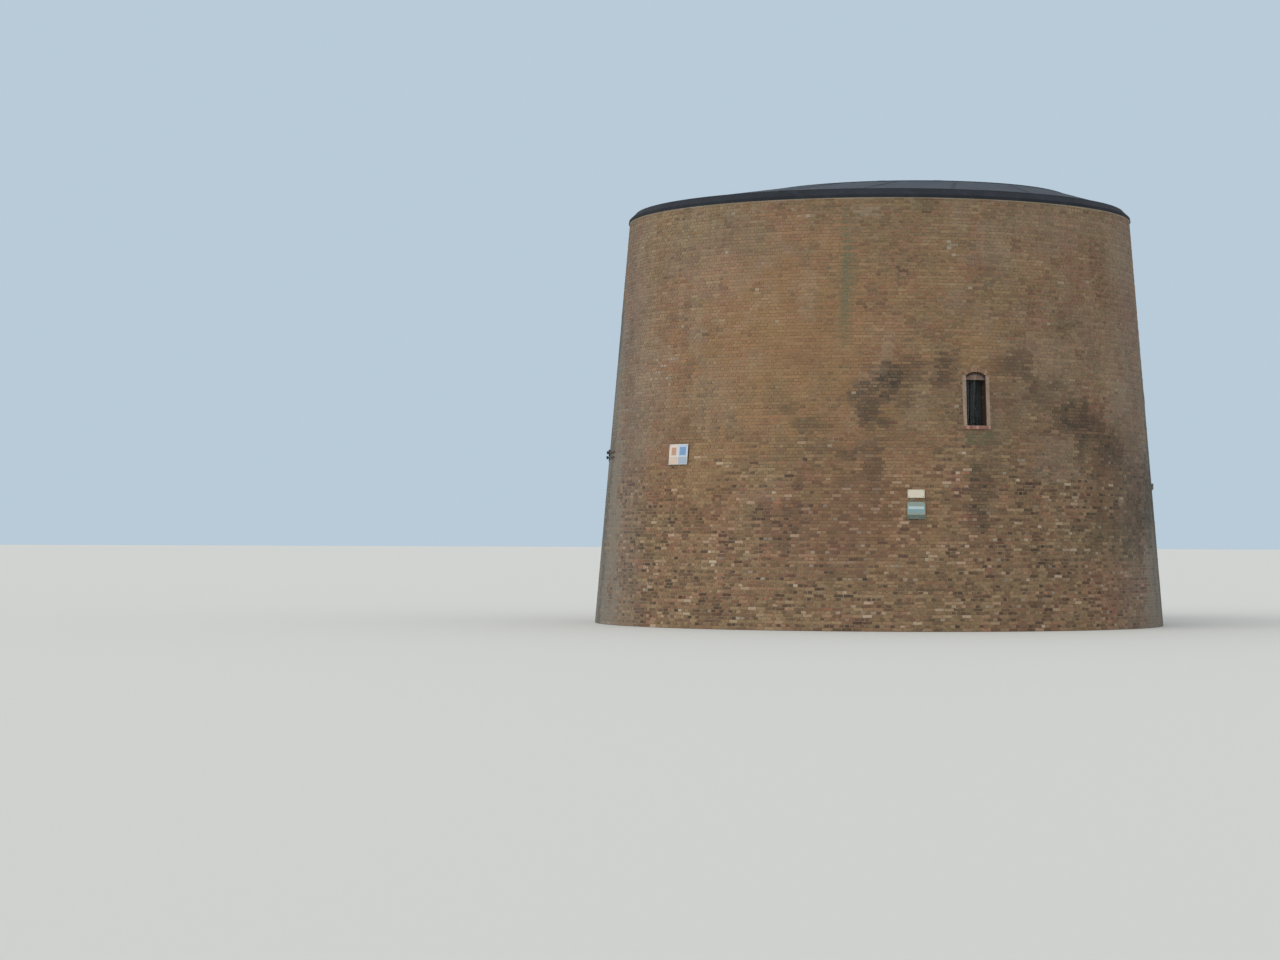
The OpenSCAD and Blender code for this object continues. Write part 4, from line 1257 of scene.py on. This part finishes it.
def door_front(timber, iron):
    """Face of the raised door: tall boards whose tops follow the frame's arch, three straps, rows
    of nails and a pull, all on the plane of the door's face."""
    gap, bevel = 0.002, 0.003
    half = DOOR_HALF - DOOR_EDGE - 0.003
    radius, centre, _ = arch_of(DOORWAY, -DOOR_EDGE - 0.004)
    edges = np.linspace(-half, half, DOOR_BOARDS + 1)
    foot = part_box("door")[0].z + 0.004
    face_x = DOOR_FACE_X + BOARD_T
    steps = 7
    parts = []
    for left, right in zip(edges[:-1] + gap, edges[1:] - gap):
        y = np.linspace(left, right, steps)
        tops = centre + np.sqrt(radius ** 2 - y ** 2)
        grid = np.stack([np.stack([y, np.full(steps, foot)], 1), np.stack([y, tops], 1)])
        inward = np.clip((left + right) / 2 - grid[..., 0], -bevel, bevel)
        inset = grid + np.stack([inward, [[bevel] * steps, [-bevel] * steps]], -1)
        board = np.concatenate([
            np.concatenate([np.full((2, steps, 1), x), flat], axis=-1).reshape(-1, 3)
            for x, flat in ((face_x, inset), (DOOR_FACE_X - 0.001, grid))
        ])
        parts.append((board, [shell_faces(np.ones((1, steps - 1), bool))]))
    points, faces = joined(parts)
    board = np.repeat(np.linspace(0, 1, DOOR_BOARDS), len(points) // DOOR_BOARDS)
    piece("door_boards", points, faces, timber, {"board": board})

    # A nail goes through each strap at the middle of each board that it crosses
    face = face_x * LANDWARD
    heights = foot + np.array(STRAP_HEIGHTS)
    low = np.stack([np.full(3, -half), heights - STRAP_H / 2], axis=1)
    high = np.stack([np.full(3, half - STRAP_SHORT), heights + STRAP_H / 2], axis=1)
    straps = slabs(low, high, LANDWARD, BACKWARD, UP, face, [[-0.002, STRAP_T]] * 3)
    places = np.stack(np.meshgrid((edges[1:] + edges[:-1]) / 2, heights), axis=-1).reshape(-1, 2)
    places = places[places[:, 0] < half - STRAP_SHORT - 0.02]
    nails = face + STRAP_T * LANDWARD + places[:, :1] * BACKWARD + places[:, 1:] * UP

    # The pull's bow runs through half a turn: out by the root of the sine, and down by the cosine
    steps = 13
    reach = np.linspace(0, math.pi, steps)
    bow = np.stack([
        face_x - 0.004 + PULL_OUT * np.sin(reach) ** 0.5, np.full(steps, half - PULL_SHORT),
        foot + PULL_Z - PULL_HALF_H * np.cos(reach),
    ], axis=1)
    side = np.cross(unit(np.gradient(bow, axis=0)), BACKWARD)[None]
    level = np.broadcast_to(BACKWARD, (1, steps, 3))
    points, faces = joined([
        (straps.reshape(-1, 3), [block_faces(3)]),
        buttons(nails, LANDWARD, BACKWARD, 0.014, 0.010),
        carried(bow[None], side, level, circle(0.008, 12)),
    ])
    piece("door_ironwork", points, faces, iron)


def sign_boards(sheet, iron):
    """Three blank boards on short stand-offs. Each is a flat plate that leans with the wall, with
    thinner plates of colour on it as its name says, and a bolt 30 mm in from each corner."""
    for name, angle, low_z, high_z, wide, plates in SIGNS:
        outward, level = facing(angle)
        up = unit(UP - BATTER * outward)
        outward = np.cross(level, up)
        tall = high_z - low_z
        origin = on_wall(angle, 0.0, (low_z + high_z) / 2, 0.0) + SIGN_OUT * outward
        *corners, codes = zip(*plates)
        corners = (np.array(corners).T.reshape(-1, 2, 2) - 0.5) * [wide, tall]
        thick = [(-0.003, 0.0)] + [(-0.001, 0.0010 + 0.0004 * i) for i in range(len(plates) - 1)]
        blocks = slabs(corners[:, 0], corners[:, 1], outward, level, up, origin, thick)
        paint = np.repeat([linear(code)[:3] for code in codes], 8, axis=0)
        points, faces = blocks.reshape(-1, 3), [block_faces(len(blocks))]
        piece(f"board_{name}", points, faces, sheet, {"paint": paint})

        bolts = (SQUARE * 2 - 1) * [wide / 2 - 0.03, tall / 2 - 0.03]
        spots = origin + bolts[:, :1] * level + bolts[:, 1:] * up
        posts = np.stack([spots - (SIGN_OUT + 0.01) * outward, spots - 0.002 * outward], axis=1)
        points, faces = joined([
            carried(posts, level, up, circle(0.009, 10)),
            buttons(spots + 0.003 * outward, outward, level, 0.008, 0.005),
        ])
        piece(f"fixings_{name}", points, faces, iron)


def edge_bracket(iron):
    """Bracket on the seaward edge: two flat bars that follow the wall round to the edge and then
    run out from it, held by an upright plate, with a short cup at the end of each."""
    steps = 9
    parts = []
    for height in BRACKET_HEIGHTS:
        turn = np.radians(np.linspace(BRACKET_FROM, BRACKET_TO, steps))
        out = np.full(steps, 0.035)
        turn[-1], out[-1] = turn[-2], 0.070
        path = around(turn, wall_r(height) + out, height)
        level = np.cross(unit(np.gradient(path, axis=0)), UP)[None]
        upright = np.broadcast_to(UP, (1, steps, 3))
        parts.append(carried(path[None], level, upright, BAR_SECTION))
        cup = path[-1] + np.array([-0.035, 0.040])[:, None] * UP
        parts.append(carried(cup[None], LANDWARD, BACKWARD, circle(0.022, 12)))
    outward, level = facing(BRACKET_TO)
    origin = on_wall(BRACKET_TO, 0.0, sum(BRACKET_HEIGHTS) / 2, 0.0)
    plate = slabs([(-0.04, -0.14)], [(0.04, 0.14)], outward, level, UP, origin, [(-0.03, 0.034)])
    points, faces = joined(parts + [(plate.reshape(-1, 3), [block_faces(1)])])
    piece("edge_bracket", points, faces, iron)


def dome_z(radius):
    """Height of the dome's outer face at a radius from its middle, on its sphere."""
    return DOME_TOP_Z - DOME_SPHERE_R + np.sqrt(DOME_SPHERE_R ** 2 - np.square(radius))


def deck_point(angle, share):
    """Points on the deck, which runs straight from its rim at an angle to its upper edge at the
    same angle: share is 0 at the rim and 1 at the upper edge."""
    rim = around(angle, RIM_R, RIM_Z)
    head = around(angle, DOME_R + DOME_LIP, DECK_TOP_Z) + [DOME_X, 0, 0]
    return rim + np.asarray(share)[..., None] * (head - rim)


def lap_section(half, high):
    """Section of a lap of sheet: flat on top with rounded edges, and its underside a little in the
    roof."""
    edge = 0.006
    return [
        (-half, -edge), (half, -edge), (half, 0.3 * high), (half - edge, high),
        (edge - half, high), (-half, 0.3 * high),
    ]


def hoop(middle, half, high):
    """Lap of sheet in a circle round the dome's top."""
    across, out = np.array(lap_section(half, high)).T
    radius = middle + across
    return ring(np.stack([radius, dome_z(radius) + out], axis=1), DOME_X)


def dome_cap():
    """Round cap over the dome's top: rings of points from its edge up to its middle, a little above
    the dome."""
    reach = np.array([0.34, 0.34, 0.32, 0.20, 0.10])
    high = np.array([-0.006, 0.008, 0.013, 0.014, 0.014])
    steps = 48
    rows = around(whole_turn(steps)[None], reach[:, None], (dome_z(reach) + high)[:, None])
    tips = [[0, 0, DOME_TOP_Z + high[-1]], [0, 0, DOME_TOP_Z + high[0]]]
    points = np.concatenate([rows.reshape(-1, 3), tips]) + [DOME_X, 0, 0]
    top = len(reach) * steps
    return points, [
        sheet_faces(len(reach), steps, round_columns=True),
        fan(top - steps, steps, top), fan(0, steps, top + 1)[:, [1, 0, 2]],
    ]


def dome_laps(material):
    """Laps over the joints of the dome's panels, two more round it, a cap at its top and a strip at
    its edge."""
    turn = np.radians((np.arange(DOME_LAPS) + 0.5) * 360 / DOME_LAPS)[:, None]
    reach = np.linspace(0.30, DOME_R - 0.01, 20)[None]
    paths = around(turn, reach, dome_z(reach)) + [DOME_X, 0, 0]
    across = around(turn + math.pi / 2, np.ones_like(reach), 0.0)
    normal = unit(around(turn, reach / np.sqrt(DOME_SPHERE_R ** 2 - reach ** 2), 1.0))
    edge = dome_z(DOME_R)
    strip = [
        (DOME_R - 0.050, edge - 0.004), (DOME_R + 0.060, DECK_TOP_Z - 0.014),
        (DOME_R + 0.060, DECK_TOP_Z + 0.001), (DOME_R + 0.012, edge - 0.002),
        (DOME_R - 0.004, edge + 0.006), (DOME_R - 0.050, edge + 0.012),
    ]
    points, faces = joined([
        carried(paths, across, normal, lap_section(DOME_LAP_HALF, LAP_T)),
        hoop(0.36 * DOME_R, DOME_LAP_HALF, LAP_T), hoop(0.70 * DOME_R, DOME_LAP_HALF, LAP_T),
        dome_cap(), ring(strip, DOME_X),
    ])
    piece("dome_laps", points, faces, material)


def deck_laps(material):
    """Laps of the deck's sheets, straight down it from the dome to the rim."""
    turn = np.radians(np.arange(DECK_LAPS) * 360 / DECK_LAPS + 6)[:, None]
    paths = deck_point(turn, np.linspace(0.012, 0.985, 6)[None])
    run = np.gradient(paths, axis=1)
    across = unit(np.cross(UP, run))
    points, faces = carried(paths, across, unit(np.cross(run, across)), lap_section(0.040, LAP_T))
    piece("deck_laps", points, faces, material)


def fascia_trim(felt):
    """Joint covers of the fascia's boards, bent over its slope, a bead at its foot and another
    round the rim."""
    turn = np.radians(np.arange(FASCIA_COVERS) * 360 / FASCIA_COVERS + 4)[:, None]
    radius = np.array([FASCIA_R, FASCIA_R, RIM_R + RIM_T])[None]
    height = np.array([WALL_H + 0.014, WALL_H + FASCIA_FACE_H, RIM_Z])[None]
    paths = around(turn, radius, height)
    slope = math.atan2(FASCIA_R - RIM_R - RIM_T, RIM_Z - WALL_H - FASCIA_FACE_H)
    lean = np.array([0, slope / 2, slope])[None]
    outward = around(turn, np.cos(lean), np.sin(lean))
    across = around(turn + math.pi / 2, np.ones_like(lean), 0.0)
    foot, head = (FASCIA_R, WALL_H), (RIM_R + RIM_T / 2, RIM_Z)
    covers = carried(paths, across, outward, lap_section(0.035, 0.005))
    points, faces = joined([covers] + [ring(at + circle(0.012, 10), 0.0) for at in (foot, head)])
    piece("fascia_trim", points, faces, felt)


def mortar_fillet(mortar):
    """Fillet of mortar between the wall's head and the fascia, pale with lime."""
    head = wall_r(WALL_H)
    points, faces = ring([
        (head - 0.010, WALL_H - 0.050), (head + 0.012, WALL_H - 0.040),
        (head + 0.024, WALL_H - 0.012), (head + 0.026, WALL_H), (head - 0.010, WALL_H),
    ], 0.0)
    grime, wash = weathering(points)
    grime[:, 2] = np.maximum(grime[:, 2], 0.55 + 0.35 * smooth(0.5 + ripple(points, 1.5, 61)))
    piece("fillet", points, faces, mortar, {"grime": grime, "wash": wash})


def set_camera():
    """Camera at the photograph's place and angle: focal length, place and turns fitted to the
    tower's outline, the two rims and the horizon."""
    focal_px, wide_px, sensor = 2991.7, 1280, 36.0
    yaw, pitch, roll = 0.0792, 0.02034, 0.00399
    flat = math.cos(pitch)
    look = Vector((-math.sin(yaw) * flat, math.cos(yaw) * flat, math.sin(pitch)))
    level = Vector((math.cos(yaw), math.sin(yaw), 0))
    above = level.cross(look)
    right = level * math.cos(roll) + above * math.sin(roll)
    up = above * math.cos(roll) - level * math.sin(roll)
    data = bpy.data.cameras.new("camera")
    data.sensor_width = sensor
    data.lens = focal_px / wide_px * sensor
    data.clip_end = 3000
    camera = bpy.data.objects.new("camera", data)
    turn = Matrix((right, up, -look)).transposed().to_4x4()
    camera.matrix_world = Matrix.Translation((0, -73.81, 2.00)) @ turn
    bpy.context.scene.collection.objects.link(camera)
    bpy.context.scene.camera = camera


def set_stage():
    """Wide pale floor, a level sky that the camera sees as pale grey-blue, and one large soft
    lamp."""
    scene = bpy.context.scene
    scene.view_settings.view_transform = "Standard"
    # The floor is 2 mm under the base, with a ring of points near the tower to keep its faces even
    steps, level = 96, -0.002
    turn = whole_turn(steps)
    rings = [around(turn, radius, level) for radius in (900.0, 12.0)]
    points = np.concatenate(rings + [[[0, 0, level]]])
    outer = sheet_faces(2, steps, round_columns=True)
    inner = fan(steps, steps, 2 * steps)
    mesh = bpy.data.meshes.new("floor")
    mesh.from_pydata(points.tolist(), [], outer.tolist() + inner.tolist())
    mesh.materials.append(floor_paint())
    floor = bpy.data.objects.new("floor", mesh)
    scene.collection.objects.link(floor)

    world = bpy.data.worlds.new("sky")
    world.use_nodes = True
    world.node_tree.nodes.clear()
    seen = add(world, "LightPath", {})
    straight = {0: seen["Is Camera Ray"], 1: seen["Is Transmission Ray"]}
    shown = add(world, "Math", straight, operation="MAXIMUM")[0]
    shade = add(world, "Mix", {0: shown, 6: linear("#e9eef4"), 7: linear("#b9cbd9")}, **COLOURS)[2]
    sky = add(world, "Background", {"Color": shade, "Strength": 1.0})[0]
    add(world, "OutputWorld", {"Surface": sky})
    scene.world = world

    lamp = bpy.data.lights.new("soft_sun", "SUN")
    lamp.energy = 1.1
    lamp.angle = math.radians(50)
    lamp.color = (1.0, 0.97, 0.92)
    sun = bpy.data.objects.new("soft_sun", lamp)
    toward = Vector((-0.62, -0.62, 0.75)).to_track_quat("Z", "Y")
    sun.matrix_world = toward.to_matrix().to_4x4()
    scene.collection.objects.link(sun)


def dress_model():
    """Gives each node of the model the finish that its slot in the record names, and returns those
    that pieces made here share: felt, the darker sheet of the roof's laps, and the door's paint."""
    felt = roofing("black_felt", "#25282d", "#303339", "#43474e", 0.85)
    membrane = roofing("grey_membrane", "#3a414a", "#474e57", "#5a6169", 0.8)
    lapped = roofing("membrane_laps", "#2f353c", "#3e444c", "#585e65", 0.85)
    looks = {
        "stock_brick": wall_core(), "whitewashed_brick": limewashed_vault(),
        "brick_paving": paving_brick(), "oak": oak_boards(), "stone_paving": flagstones(),
        "red_sill_brick": sill_brick(), "buff_dressing": strip_stone(),
        "weathered_timber": old_paint("weathered_timber", "#23272b", "#34383b"),
        "painted_door": old_paint("painted_door", "#26302c", "#37423d"),
        "threshold_stone": threshold_stone(), "black_felt": felt, "grey_membrane": membrane,
    }
    slots = {part["node"]: part["material_slot"] for part in frame["record"]["subparts"]}
    joists = oak_joists()
    for name, node in frame["nodes"].items():
        node.data.materials.clear()
        node.data.materials.append(joists if name == "floor_joists" else looks[slots[name]])
    return felt, lapped, looks["painted_door"]


def main():
    set_camera()
    mortar, iron = lime_mortar(), wrought_iron()
    felt, lapped, door_paint = dress_model()
    brickwork(stock_brick(), mortar)
    arch_rings(rubbed_brick())
    window_bars(iron, window_glass())
    door_front(door_paint, iron)
    sign_boards(sign_paint(), iron)
    edge_bracket(iron)
    dome_laps(lapped)
    deck_laps(lapped)
    fascia_trim(felt)
    mortar_fillet(mortar)
    set_stage()


main()
